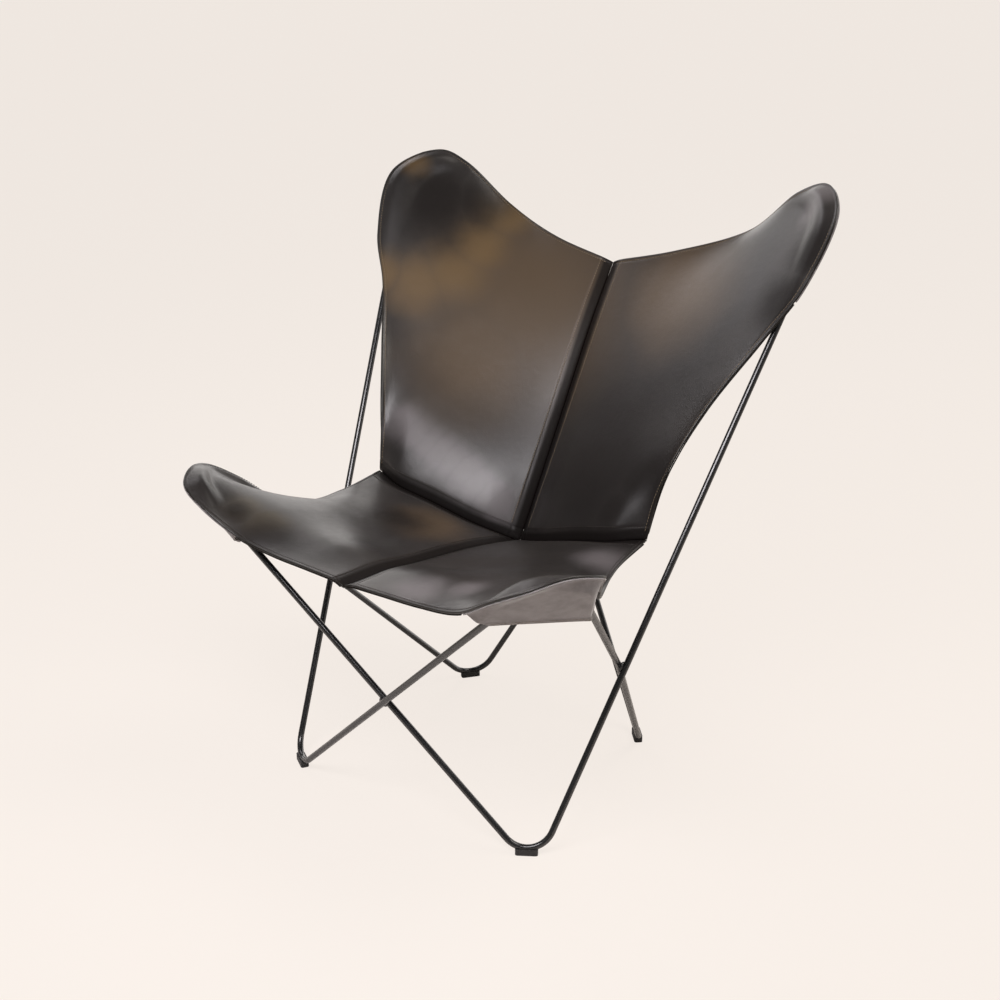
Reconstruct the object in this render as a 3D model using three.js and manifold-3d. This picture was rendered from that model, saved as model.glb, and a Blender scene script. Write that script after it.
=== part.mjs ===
// Butterfly sling chair: two bent steel rod loops welded where they cross, and a leather sling
// of four sewn panels that hangs from the loops by a pocket at each of its four tips.
// Millimetres. +X is the right as seen from the front, -Y is the front, +Z is up, and the floor
// is z = 0. The sizes below are measured from the middle of the four feet.
import * as THREE from 'three';
import { mergeVertices } from 'three/addons/utils/BufferGeometryUtils.js';
import Module from 'manifold-3d';

const wasm = await Module();
wasm.setup();

// Rod frame.
const rod_diameter = 10;
const touch_gap = 0.3;               // clearance between pieces that touch in the real chair
const glide_under_rod = 5;           // plastic under the rod at a foot
const front_foot_half_width = 240;   // where the two straight legs of a front foot would meet
const rear_foot_half_width = 183;
const foot_half_depth = 202;
const wing_corner_half_width = 427;  // where the two straight legs of a rear wing would meet
const wing_corner_depth = 427.5;
const wing_corner_height = 1073;
const tip_corner_half_width = 367.5; // where the two straight legs of a front tip would meet
const tip_corner_depth = 307;
const tip_corner_height = 548;
const foot_bend_radius = 41;
const wing_bend_radius = 61;
const tip_bend_radius = 38.5;
const crossing_bend_radius = 120;
const side_crossing_share = 0.744;   // of the way from the rear wing corner to the front foot

// Welds and glides.
const weld_half_length = 8.5;
const weld_half_height = 4.2;
const glide_length = 34;
const glide_wall = 1.75;
const glide_past_middle = 0.5;       // how far it clips up past the middle of the rod
const glide_corner = 4;

// Leather sling.
const leather_thickness = 3.5;
const lining_thickness = 2.5;        // pockets
const strip_thickness = 2;           // strips sewn behind edges and seams
const layer_gap = 0.7;               // between sewn layers
const seam_gap = 0.8;                // between the edges of two panels
const back_top_depth = 363;          // top end of the centre seam
const back_top_height = 759;
const junction_depth = 97;           // where the four panels meet
const junction_height = 348;
const seat_front_depth = 318;        // front end of the centre seam
const seat_front_height = 425.5;
const side_corner_half_width = 262;  // outer end of the seam between seat and back
const side_corner_depth = 60;
const side_corner_height = 424;
const leather_over_rod = 0.85;       // clearance between the leather and the rod it rests on

// Where the edge of the leather lies round a rod: margins are outside the rod, lifts are above the
// plane of the two rods' centrelines, runs are along a leg from the corner of the bend, and angles
// are from the middle of the bend, in degrees.
const wing_rear_angle = -42.2;
const wing_rear_margin = 13.3;
const wing_rear_lift = 11.5;
const wing_top_angle = -6.1;
const wing_top_margin = 21.2;
const wing_top_drop = 2.7;           // a drop is a lift to the other side
const wing_front_angle = 56.4;
const wing_front_margin = 26.9;
const wing_front_drop = 2.6;
const wing_low_run = 346;
const wing_low_margin = 26.2;
const wing_low_lift = 1.4;
const wing_leave_run = 432.5;
const wing_leave_margin = 2;
const wing_leave_lift = 16.2;
const tip_side_angle = 61.3;
const tip_side_margin = 29.6;
const tip_side_lift = 8.5;
const tip_nose_angle = 9.8;
const tip_nose_margin = 15.4;
const tip_nose_drop = 1.6;
const tip_front_angle = -39.3;
const tip_front_margin = 22.2;
const tip_front_drop = 13.9;
const tip_low_run = 116.4;
const tip_low_margin = 36.5;
const tip_low_drop = 8.5;
const tip_leave_run = 184.2;
const tip_leave_margin = 45.4;
const tip_leave_lift = 4.6;
const side_leave_run = 137.3;
const side_leave_margin = 23.5;
const side_leave_lift = 24;
// Free edges and seams: how far they bow from the straight line between their ends
const top_edge_sag = 31.9;
const top_edge_bow = 19.7;
const side_edge_bow_in = 19.7;
const side_edge_bow_forward = 22.1;
const seat_side_bow_in = 23.4;
const seat_side_sag = 50.1;
const front_edge_sag = 4.1;
const back_seam_bow = 6;
const seat_seam_crown = 10;
const cross_seam_bow = 26;
const cross_seam_crown = 10;
// The leather is a broad crest over the rods, and falls off to its free edge
const crest_over_rod = 3;            // of its middle, above where it would touch the rod
const crest_radius = 60;
const crest_blend = 4;
const crest_edge_width = 20;
// The seat has a crest behind its front edge, which runs out to the nose of each tip, a hollow
// behind the crest, and a gutter between the crest and the side of each tip
const seat_crest_depth = 232;
const seat_crest_turn_half_width = 300;
const seat_crest_turn_depth = 222;
const seat_crest_nose_half_width = 338;
const seat_crest_nose_depth = 300;
const seat_crest_height = 8;
const seat_crest_width = 42;
const seat_hollow_depth = 8;
const seat_hollow_behind = 80;
const seat_hollow_width = 45;
const gutter_depth = 10;
const gutter_inside_edge = 26;
const gutter_width = 15;
const gutter_reach = 190;            // from the centre of the bend
const gutter_fade = 60;
// The back is fuller just above the seat
const back_fullness = 8;
const back_fullest_at = 45;
const relief_fade = 34;              // from a free edge
const crest_middle_share = 0.4;      // of the crest's height, over the centre seam
const crest_middle_half_width = 90;
// The leather slopes down to a seam
const seam_valley_depth = 6;
const seam_valley_half_width = 22;
// Strips and pockets
const edge_strip_width = 12;
const seam_strip_half_width = 15;
const seam_strip_clear = 4;
const pocket_rim = 2.5;
const pocket_turn = 6.5;
const pocket_drop = 9.5;
const pocket_flat = 15;
const pocket_end = 20;
const pocket_low_end = 26;           // at the front leg of a tip
const pocket_turn_depth = 3;
const pocket_deep_flat = 26;         // where a rim lies deeper than the flat of the pocket
const pocket_under_rod = 1.85;       // clearance between the lining and the rod
const pocket_corner_under_rod = 0.95;
// Openings of the pockets: from the centre of the bend to the line of the opening, and how far
// the side end of a front pocket hangs on past the end of its rim
const wing_opening_reach = 46;
const tip_opening_reach = 57;
const tip_opening_hang = 12;

const corner_clear = edge_strip_width * 2;

// Shapes of the free edges and seams: [share of the way, shares of the bow in x, y and z]
const top_edge_shares = [[0.37, 0, 0, 0.7], [0.74, 0, 1, 1]];
const side_edge_shares = [[0.33, 0.9, 0.9, 0], [0.67, 1, 1, 0]];
const front_edge_shares = [[0.34, 0, 0, 0.5], [0.68, 0, 0, 1]];
const seat_side_shares = [[0.25, 1, 0, 1], [0.63, 1, 0, 0.55]];
const cross_seam_shares = [[0.27, 0, 0.75, 0.5], [0.54, 0, 1, 1], [0.8, 0, 1, 0.9]];
const back_seam_shares = [[0.45, 0, 0.5, 0], [0.8, 0, 1, 0]];
const seat_seam_shares = [[0.25, 0, 0, 1], [0.6, 0, 0, 0.8]];
const back_corner_at = 4.35;         // where the top edge ends and the side begins, in edge points
const seat_corner_at = 6.2;
const cross_valley_end_share = 0.75; // where the valley along the seam between seat and back fades
const grading = 0.5;
const band_most_share = 0.6;
const band_least_slant = 0.5;
const wing_opening_slant = 0.335;
const pocket_flat_shares = [0.5, 1];
const ruled_most_share = 0.9;

// Counts
const foot_rounds = 6;
const grid_neighbours = 4;
const ruled_samples = 200;
const rod_sides = 10;
const bend_steps = 8;
const kink_steps = 2;
const lowest_steps = 60;
const grid_steps = 15;
const relax_rounds = 500;
const curve_samples = 24;

const rod_radius = rod_diameter / 2;
const loop_shift = rod_radius + touch_gap;
const rod_lift = rod_radius + leather_thickness / 2 + leather_over_rod;
const pocket_behind_rod = rod_radius + lining_thickness / 2 + pocket_under_rod;
const pocket_drop_depth = rod_radius + lining_thickness / 2 + pocket_corner_under_rod;
const glide_width = rod_diameter + 2 * glide_wall;
const glide_height = glide_under_rod + rod_radius + glide_past_middle;
const V = (x, y, z) => new THREE.Vector3(x, y, z);
const lerp = (a, b, share) => a.clone().lerp(b, share);
const along = (p, dir, distance) => p.clone().addScaledVector(dir, distance);
const unit = (a, b) => b.clone().sub(a).normalize();

const steel = () => new THREE.MeshStandardMaterial({ color: 0x17181a, roughness: 0.4, metalness: 0.5 });
const plastic = () => new THREE.MeshStandardMaterial({ color: 0x2b2b2e, roughness: 0.6, metalness: 0 });
const leather = () => new THREE.MeshStandardMaterial({ color: 0x2e2a27, roughness: 0.45, metalness: 0 });
const suede = () => new THREE.MeshStandardMaterial({ color: 0x3a3532, roughness: 0.7, metalness: 0 });

const group = new THREE.Group();
group.name = 'butterfly_sling_chair';
function add(name, geometry, material) {
  const mesh = new THREE.Mesh(geometry, material);
  mesh.name = name;
  group.add(mesh);
}
function geometryOf(points, triangles) {
  const g = new THREE.BufferGeometry();
  g.setAttribute('position', new THREE.Float32BufferAttribute(points.flatMap((p) => [p.x, p.y, p.z]), 3));
  g.setIndex(triangles.flat());
  g.computeVertexNormals();
  return g;
}

// Bent rods.
// One round bend between two straight legs that would meet at a corner.
function makeBend(corner, before, after, radius) {
  const u = unit(corner, before);
  const w = unit(corner, after);
  const half = Math.acos(u.dot(w)) / 2;
  const inward = u.clone().add(w).normalize();
  const centre = along(corner, inward, radius / Math.sin(half));
  const side = u.clone().addScaledVector(inward, -u.dot(inward)).normalize();
  return { corner, u, w, half, inward, centre, side, radius };
}
// A point of the bend; the angle is from its apex towards the first leg, in radians.
function onBend(bend, angle, radius) {
  const p = along(bend.centre, bend.inward, -radius * Math.cos(angle));
  return along(p, bend.side, radius * Math.sin(angle));
}
function bendPoints(bend, steps) {
  const sweep = Math.PI / 2 - bend.half;
  const points = [];
  for (let i = 0; i <= steps; i += 1) {
    points.push(onBend(bend, sweep * (1 - (2 * i) / steps), bend.radius));
  }
  return points;
}
// Round tube round a closed line of points; the section's twist is spread along the loop.
function tubeLoop(path, radius, sides) {
  const n = path.length;
  const tangent = path.map((p, i) => unit(path[(i + n - 1) % n], path[(i + 1) % n]));
  const start = V(0, 0, 1).cross(tangent[0]).normalize();
  const frames = [start];
  for (let i = 1; i <= n; i += 1) {
    const t = tangent[i % n];
    const turn = new THREE.Quaternion().setFromUnitVectors(tangent[i - 1], t);
    frames.push(frames[i - 1].clone().applyQuaternion(turn));
  }
  const end = frames[n];
  const twist = Math.atan2(end.clone().cross(start).dot(tangent[0]), end.dot(start));
  const points = [];
  for (let i = 0; i < n; i += 1) {
    const a = frames[i].clone().applyAxisAngle(tangent[i], (twist * i) / n);
    const b = tangent[i].clone().cross(a);
    const before = unit(path[(i + n - 1) % n], path[i]);
    const mitre = 1 / Math.max(before.dot(tangent[i]), 0.5);
    const flat = before.clone().sub(unit(path[i], path[(i + 1) % n]));
    if (flat.length() > 0) flat.normalize();
    for (let j = 0; j < sides; j += 1) {
      const angle = (2 * Math.PI * j) / sides;
      const r = a.clone().multiplyScalar(Math.cos(angle)).addScaledVector(b, Math.sin(angle));
      r.addScaledVector(flat, r.dot(flat) * (mitre - 1));
      points.push(along(path[i], r, radius));
    }
  }
  const triangles = [];
  for (let i = 0; i < n; i += 1) {
    for (let j = 0; j < sides; j += 1) {
      const p = i * sides + j;
      const q = i * sides + ((j + 1) % sides);
      const r = ((i + 1) % n) * sides + j;
      const s = ((i + 1) % n) * sides + ((j + 1) % sides);
      triangles.push([p, q, r], [q, s, r]);
    }
  }
  return geometryOf(points, triangles);
}

// One loop runs front tip - front foot - rear wing - rear foot - front tip. With side = 1 its rear
// wing is at +X and its front tip at -X. The other loop is its mirror image, and the two stand one
// rod apart front to back, so that they touch where they cross.
function makeLoop(side) {
  const shift = side * loop_shift;
  const at = (x, y, z) => V(side * x, y + shift, z);
  const wing = at(wing_corner_half_width, wing_corner_depth, wing_corner_height);
  const tip = at(-tip_corner_half_width, -tip_corner_depth, tip_corner_height);
  const front = at(front_foot_half_width, -foot_half_depth, 0);
  const rear = at(-rear_foot_half_width, foot_half_depth, 0);
  return { side, wing, tip, front, rear };
}
// The corners of the feet lie where the bends just rest on their glides.
function lowestOf(bend) {
  return Math.min(...bendPoints(bend, lowest_steps).map((p) => p.z));
}
function sideKink(loop, other) {
  const across = unit(other.wing, other.front).cross(unit(loop.tip, loop.rear)).normalize();
  if (across.x * loop.side > 0) across.negate();
  return along(lerp(other.wing, other.front, side_crossing_share), across, -2 * loop_shift);
}
const loops = [makeLoop(1), makeLoop(-1)];
for (let round = 0; round < foot_rounds; round += 1) {
  loops.forEach((loop, i) => {
    loop.kink = sideKink(loop, loops[1 - i]);
    const rest = glide_under_rod + rod_radius;
    loop.front.z += rest - lowestOf(makeBend(loop.front, loop.tip, loop.wing, foot_bend_radius));
    loop.rear.z += rest - lowestOf(makeBend(loop.rear, loop.wing, loop.kink, foot_bend_radius));
  });
}
for (const loop of loops) {
  loop.frontBend = makeBend(loop.front, loop.tip, loop.wing, foot_bend_radius);
  loop.wingBend = makeBend(loop.wing, loop.front, loop.rear, wing_bend_radius);
  loop.rearBend = makeBend(loop.rear, loop.wing, loop.kink, foot_bend_radius);
  loop.kinkBend = makeBend(loop.kink, loop.rear, loop.tip, crossing_bend_radius);
  loop.tipBend = makeBend(loop.tip, loop.kink, loop.front, tip_bend_radius);
  loop.path = [
    ...bendPoints(loop.frontBend, bend_steps),
    ...bendPoints(loop.wingBend, bend_steps),
    ...bendPoints(loop.rearBend, bend_steps),
    ...bendPoints(loop.kinkBend, kink_steps),
    ...bendPoints(loop.tipBend, bend_steps),
  ];
}
add('rod_loop_right_wing', tubeLoop(loops[0].path, rod_radius, rod_sides), steel());
add('rod_loop_left_wing', tubeLoop(loops[1].path, rod_radius, rod_sides), steel());

// Welds and glides.
function toManifold(geometry) {
  const index = geometry.index.array;
  const mesh = new wasm.Mesh({
    numProp: 3,
    vertProperties: new Float32Array(geometry.attributes.position.array),
    triVerts: new Uint32Array(index),
  });
  return new wasm.Manifold(mesh);
}
function toGeometry(solid) {
  const mesh = solid.getMesh();
  const g = new THREE.BufferGeometry();
  g.setAttribute('position', new THREE.BufferAttribute(new Float32Array(mesh.vertProperties), 3));
  g.setIndex(new THREE.BufferAttribute(new Uint32Array(mesh.triVerts), 1));
  g.computeVertexNormals();
  return g;
}
const clearLoop = (loop) => toManifold(tubeLoop(loop.path, rod_radius + touch_gap, rod_sides * 2));
const clearLoops = loops.map(clearLoop);
const clearFrame = clearLoops[0].add(clearLoops[1]);

// Where two straight runs pass closest, and the directions of both.
function crossing(a, b, c, d) {
  const u = unit(a, b);
  const w = unit(c, d);
  const k = u.dot(w);
  const gap = a.clone().sub(c);
  const s = (k * gap.dot(w) - gap.dot(u)) / (1 - k * k);
  const t = (gap.dot(w) - k * gap.dot(u)) / (1 - k * k);
  return { middle: lerp(along(a, u, s), along(c, w, t), 0.5), u, w };
}
// A weld bead fills the corners round the point where two rods touch.
function weldBead(name, place) {
  const ball = new THREE.SphereGeometry(1, 16, 10);
  ball.deleteAttribute('uv');
  ball.deleteAttribute('normal');
  const merged = mergeVertices(ball);
  const normal = place.u.clone().cross(place.w).normalize();
  const x = place.u.clone().add(place.w).normalize();
  const y = normal.clone().cross(x);
  const turn = new THREE.Matrix4().makeBasis(x, y, normal);
  merged.scale(weld_half_length, weld_half_length, weld_half_height);
  merged.applyMatrix4(turn);
  merged.translate(place.middle.x, place.middle.y, place.middle.z);
  add(name, toGeometry(toManifold(merged).subtract(clearFrame)), steel());
}
const [right, left] = loops;
weldBead('weld_front', crossing(right.tip, right.front, left.tip, left.front));
weldBead('weld_rear', crossing(right.wing, right.rear, left.wing, left.rear));
weldBead('weld_right', crossing(right.wing, right.front, left.tip, left.kink));
weldBead('weld_left', crossing(left.wing, left.front, right.tip, right.kink));

// A glide is a saddle that clips round the underside of the rod at the lowest point of a foot.
function glide(name, bend) {
  const points = bendPoints(bend, lowest_steps);
  const lowest = points.reduce((low, p) => (p.z < low.z ? p : low));
  const k = points.indexOf(lowest);
  const run = points[k + 1].clone().sub(points[k - 1]);
  const shape = new THREE.Shape();
  const x = glide_length / 2;
  const y = glide_width / 2;
  shape.moveTo(-x + glide_corner, -y);
  shape.lineTo(x - glide_corner, -y);
  shape.quadraticCurveTo(x, -y, x, -y + glide_corner);
  shape.lineTo(x, y - glide_corner);
  shape.quadraticCurveTo(x, y, x - glide_corner, y);
  shape.lineTo(-x + glide_corner, y);
  shape.quadraticCurveTo(-x, y, -x, y - glide_corner);
  shape.lineTo(-x, -y + glide_corner);
  shape.quadraticCurveTo(-x, -y, -x + glide_corner, -y);
  const options = { depth: glide_height, bevelEnabled: false, curveSegments: 4 };
  const block = new THREE.ExtrudeGeometry(shape, options);
  block.deleteAttribute('uv');
  block.deleteAttribute('normal');
  const merged = mergeVertices(block);
  merged.rotateZ(Math.atan2(run.y, run.x));
  merged.translate(lowest.x, lowest.y, 0);
  add(name, toGeometry(toManifold(merged).subtract(clearFrame)), plastic());
}
glide('glide_front_right', right.frontBend);
glide('glide_front_left', left.frontBend);
glide('glide_rear_left', right.rearBend);
glide('glide_rear_right', left.rearBend);

// The sling.
// The plane of a bend, with its normal towards the sitter.
function planeNormal(bend) {
  const n = bend.u.clone().cross(bend.w).normalize();
  const sitter = V(0, junction_depth, junction_height).sub(bend.corner);
  return n.dot(sitter) < 0 ? n.negate() : n;
}
// A point beside a leg: run along it from the corner, margin outside the rod, lift off the plane.
function besideLeg(bend, leg, run, margin, lift) {
  const other = leg === bend.u ? bend.w : bend.u;
  const out = other.clone().addScaledVector(leg, -other.dot(leg)).normalize().negate();
  const p = along(along(bend.corner, leg, run), out, rod_radius + margin);
  return along(p, planeNormal(bend), lift);
}
// A point round the bend: the angle is from its apex towards the first leg.
function capPoint(bend, degrees, margin, lift) {
  const p = onBend(bend, THREE.MathUtils.degToRad(degrees), bend.radius + rod_radius + margin);
  return along(p, planeNormal(bend), lift);
}
// Points between two ends: each entry is a share of the way and shares of the bow's x, y and z.
function bowed(a, b, bow, shares) {
  return shares.map(([at, x, y, z]) => lerp(a, b, at).add(V(bow.x * x, bow.y * y, bow.z * z)));
}
function sample(points, from, to) {
  const curve = new THREE.CatmullRomCurve3(points, false, 'centripetal');
  const last = points.length - 1;
  const steps = Math.round(curve_samples * (to - from));
  const line = [];
  for (let i = 0; i <= steps; i += 1) {
    line.push(curve.getPoint((from + ((to - from) * i) / steps) / last));
  }
  return line;
}
// How far along a line each of its points lies.
function runsOf(line) {
  const run = [0];
  for (let i = 1; i < line.length; i += 1) run.push(run[i - 1] + line[i].distanceTo(line[i - 1]));
  return run;
}
// Points along a line, closer together towards its end.
function graded(line, steps) {
  const run = runsOf(line);
  const points = [];
  let k = 1;
  for (let i = 0; i <= steps; i += 1) {
    const share = i / steps;
    const want = run[run.length - 1] * share * (1 + grading * (1 - share));
    while (k < run.length - 1 && run[k] < want) k += 1;
    points.push(lerp(line[k - 1], line[k], (want - run[k - 1]) / (run[k] - run[k - 1])));
  }
  return points;
}
// Fill a four-sided panel between its edges with a taut surface.
function tautGrid(inner, outer, bottom, top) {
  const n = grid_steps;
  const grid = [];
  for (let j = 0; j <= n; j += 1) {
    const row = [];
    for (let i = 0; i <= n; i += 1) {
      const s = i / n;
      const t = j / n;
      const p = lerp(inner[j], outer[j], s).add(lerp(bottom[i], top[i], t));
      p.sub(lerp(lerp(bottom[0], bottom[n], s), lerp(top[0], top[n], s), t));
      row.push(p);
    }
    grid.push(row);
  }
  for (let round = 0; round < relax_rounds; round += 1) {
    for (let j = 1; j < n; j += 1) {
      for (let i = 1; i < n; i += 1) {
        const p = grid[j][i];
        p.copy(grid[j - 1][i]).add(grid[j + 1][i]).add(grid[j][i - 1]).add(grid[j][i + 1]);
        p.divideScalar(grid_neighbours);
      }
    }
  }
  return grid;
}
const transposed = (grid) => grid[0].map((p, i) => grid.map((row) => row[i]));
// Add a row of points at a set distance from the first row, so that a strip can end on it.
function withBand(grid, width) {
  const [edge, next] = grid;
  const last = edge.length - 1;
  const band = edge.map((p, i) => {
    const into = unit(p, next[i]);
    const run = unit(edge[Math.max(i - 1, 0)], edge[Math.min(i + 1, last)]);
    const slant = Math.sqrt(1 - into.dot(run) ** 2);
    const most = p.distanceTo(next[i]) * band_most_share;
    return along(p, into, Math.min(width / Math.max(slant, band_least_slant), most));
  });
  return [edge, band, ...grid.slice(1)];
}
// Bands for the seam strips on the first row and column, and for the edge strips on the last ones.
function withBands(grid) {
  let g = withBand(grid, seam_strip_half_width);
  g = withBand(g.reverse(), edge_strip_width).reverse();
  g = transposed(g);
  g = withBand(g, seam_strip_half_width);
  g = withBand(g.reverse(), edge_strip_width).reverse();
  return transposed(g);
}
// Unit normals of a grid, towards the sitter: turn is -1 where rows and columns run left-handed.
function surfaceNormals(grid, turn) {
  const normals = grid.map((row) => row.map(() => V(0, 0, 0)));
  for (let j = 0; j < grid.length - 1; j += 1) {
    for (let i = 0; i < grid[0].length - 1; i += 1) {
      const a = grid[j + 1][i + 1].clone().sub(grid[j][i]);
      const b = grid[j + 1][i].clone().sub(grid[j][i + 1]);
      const face = a.cross(b).normalize().multiplyScalar(turn);
      for (const [y, x] of [[j, i], [j, i + 1], [j + 1, i], [j + 1, i + 1]]) normals[y][x].add(face);
    }
  }
  return normals.map((row) => row.map((v) => v.normalize()));
}
// A closed solid between two matching grids of points.
function slab(front, back, turn) {
  const rows = front.length;
  const cols = front[0].length;
  const points = [...front.flat(), ...back.flat()];
  const f = (j, i) => j * cols + i;
  const g = (j, i) => rows * cols + j * cols + i;
  const triangles = [];
  const quad = (a, b, c, d) => triangles.push([a, b, c], [a, c, d]);
  for (let j = 0; j < rows - 1; j += 1) {
    for (let i = 0; i < cols - 1; i += 1) {
      quad(f(j, i), f(j, i + 1), f(j + 1, i + 1), f(j + 1, i));
      quad(g(j, i), g(j + 1, i), g(j + 1, i + 1), g(j, i + 1));
    }
  }
  for (let i = 0; i < cols - 1; i += 1) {
    quad(f(0, i), g(0, i), g(0, i + 1), f(0, i + 1));
    quad(f(rows - 1, i), f(rows - 1, i + 1), g(rows - 1, i + 1), g(rows - 1, i));
  }
  for (let j = 0; j < rows - 1; j += 1) {
    quad(f(j, 0), f(j + 1, 0), g(j + 1, 0), g(j, 0));
    quad(f(j, cols - 1), g(j, cols - 1), g(j + 1, cols - 1), f(j + 1, cols - 1));
  }
  return geometryOf(points, turn < 0 ? triangles.map(([a, b, c]) => [a, c, b]) : triangles);
}

const backTop = V(0, back_top_depth, back_top_height);
const junction = V(0, junction_depth, junction_height);
const seatFront = V(0, -seat_front_depth, seat_front_height);

// The edges of one half of the sling, hung on the rods of its own side.
function halfEdges(side) {
  const wing = (side > 0 ? right : left).wingBend;
  const tip = (side > 0 ? left : right).tipBend;
  const sideCorner = V(side * side_corner_half_width, side_corner_depth, side_corner_height);
  // A wing bend's first leg is the front one; a tip bend's first leg is the side one.
  const wingRear = capPoint(wing, wing_rear_angle, wing_rear_margin, wing_rear_lift);
  const wingTop = capPoint(wing, wing_top_angle, wing_top_margin, -wing_top_drop);
  const wingFront = capPoint(wing, wing_front_angle, wing_front_margin, -wing_front_drop);
  const wingLow = besideLeg(wing, wing.u, wing_low_run, wing_low_margin, wing_low_lift);
  const wingLeave = besideLeg(wing, wing.u, wing_leave_run, wing_leave_margin, wing_leave_lift);
  const sideBow = V(-side * side_edge_bow_in, -side_edge_bow_forward, 0);
  const backEdge = [
    backTop,
    ...bowed(backTop, wingRear, V(0, top_edge_bow, -top_edge_sag), top_edge_shares),
    wingRear,
    wingTop,
    wingFront,
    wingLow,
    wingLeave,
    ...bowed(wingLeave, sideCorner, sideBow, side_edge_shares),
    sideCorner,
  ];
  const tipLeave = besideLeg(tip, tip.w, tip_leave_run, tip_leave_margin, tip_leave_lift);
  const tipLow = besideLeg(tip, tip.w, tip_low_run, tip_low_margin, -tip_low_drop);
  const tipFront = capPoint(tip, tip_front_angle, tip_front_margin, -tip_front_drop);
  const tipNose = capPoint(tip, tip_nose_angle, tip_nose_margin, -tip_nose_drop);
  const tipSide = capPoint(tip, tip_side_angle, tip_side_margin, tip_side_lift);
  const sideLeave = besideLeg(tip, tip.u, side_leave_run, side_leave_margin, side_leave_lift);
  const seatEdge = [
    seatFront,
    ...bowed(seatFront, tipLeave, V(0, 0, -front_edge_sag), front_edge_shares),
    tipLeave,
    tipLow,
    tipFront,
    tipNose,
    tipSide,
    sideLeave,
    ...bowed(sideLeave, sideCorner, V(-side * seat_side_bow_in, 0, -seat_side_sag), seat_side_shares),
    sideCorner,
  ];
  const crossBow = V(0, -cross_seam_bow, cross_seam_crown);
  const crossSeam = [junction, ...bowed(junction, sideCorner, crossBow, cross_seam_shares), sideCorner];
  return { side, wing, tip, backEdge, seatEdge, crossSeam };
}
const seamOf = (end, bow, shares) => [junction, ...bowed(junction, end, bow, shares), end];
const backSeam = seamOf(backTop, V(0, -back_seam_bow, 0), back_seam_shares);
const seatSeam = seamOf(seatFront, V(0, 0, seat_seam_crown), seat_seam_shares);
const whole = (points) => graded(sample(points, 0, points.length - 1), grid_steps);

// Distance from a point to a line of points.
function distanceTo(line, point) {
  const segment = new THREE.Line3();
  const foot = V(0, 0, 0);
  let best = Infinity;
  for (let i = 1; i < line.length; i += 1) {
    segment.set(line[i - 1], line[i]).closestPointToPoint(point, true, foot);
    best = Math.min(best, foot.distanceTo(point));
  }
  return best;
}
// Raise a grid to a broad crest over the rod of a bend, but not its free edge.
function crested(grid, bend, edge) {
  const normal = planeNormal(bend);
  const long = bend.corner.distanceTo(junction);
  const rod = [along(bend.corner, bend.u, long), ...bendPoints(bend, bend_steps),
    along(bend.corner, bend.w, long)];
  return grid.map((row) => row.map((p) => {
    const height = p.clone().sub(bend.corner).dot(normal);
    const away = distanceTo(rod, along(p, normal, -height));
    const crest = rod_lift + crest_over_rod - away ** 2 / (2 * crest_radius);
    const short = THREE.MathUtils.clamp(crest - height, -crest_blend, crest_blend);
    const rise = Math.max(crest - height - crest_blend, 0) + (short + crest_blend) ** 2 / (4 * crest_blend);
    return along(p, normal, rise * THREE.MathUtils.smoothstep(distanceTo(edge, p), 0, crest_edge_width));
  }));
}
// A bell: 1 at the middle and about a third at the half width.
const bell = (distance, half) => Math.exp(-((distance / half) ** 2));
const fadeIn = (distance, width) => THREE.MathUtils.smoothstep(distance, 0, width);
// The seat's crest in plan for one half, and how far behind it a point lies.
function crestLine(side) {
  return [V(0, -seat_crest_depth, 0), V(side * seat_crest_turn_half_width, -seat_crest_turn_depth, 0),
    V(side * seat_crest_nose_half_width, -seat_crest_nose_depth, 0)];
}
function behindCrest(line, side, point) {
  const flat = V(point.x, point.y, 0);
  const segment = new THREE.Line3();
  const foot = V(0, 0, 0);
  let best = { distance: Infinity, sign: 1 };
  for (let i = 1; i < line.length; i += 1) {
    segment.set(line[i - 1], line[i]).closestPointToPoint(flat, true, foot);
    const distance = foot.distanceTo(flat);
    const turn = line[i].clone().sub(line[i - 1]).cross(flat.clone().sub(line[i - 1])).z;
    if (distance < best.distance) best = { distance, sign: Math.sign(turn * side) };
  }
  return best.distance * best.sign;
}
function seatRelief(grid, half, edge) {
  const line = crestLine(half.side);
  const normal = planeNormal(half.tip);
  const sideEdge = edge.slice(Math.round(curve_samples * seat_corner_at));
  return grid.map((row) => row.map((p) => {
    const free = fadeIn(distanceTo(edge, p), relief_fade);
    const behind = behindCrest(line, half.side, p);
    const across = fadeIn(Math.abs(p.x), crest_middle_half_width);
    const height = seat_crest_height * THREE.MathUtils.lerp(crest_middle_share, 1, across);
    const nearTip = 1 - THREE.MathUtils.smoothstep(
      p.distanceTo(half.tip.centre), gutter_reach - gutter_fade, gutter_reach + gutter_fade,
    );
    const hollow = seat_hollow_depth * bell(behind - seat_hollow_behind, seat_hollow_width) * (1 - nearTip);
    const inset = distanceTo(sideEdge, p);
    const shape = bell(inset - gutter_inside_edge, gutter_width) * fadeIn(inset, gutter_width);
    const gutter = gutter_depth * shape * nearTip;
    const up = (height * bell(behind, seat_crest_width) - hollow * across) * free;
    return along(along(p, V(0, 0, 1), up), normal, -gutter);
  }));
}
function backRelief(grid, half, edge) {
  const normal = V(0, -intoBack.z, intoBack.y);
  const middle = grid.map((row) => row[0]);
  return grid.map((row) => row.map((p) => {
    const share = distanceTo(grid[0], p) / back_fullest_at;
    const full = back_fullness * share * Math.exp(1 - share);
    const free = fadeIn(distanceTo(edge, p), relief_fade);
    const beside = fadeIn(distanceTo(middle, p) - seam_strip_half_width, relief_fade);
    return along(p, normal, full * free * beside);
  }));
}
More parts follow.
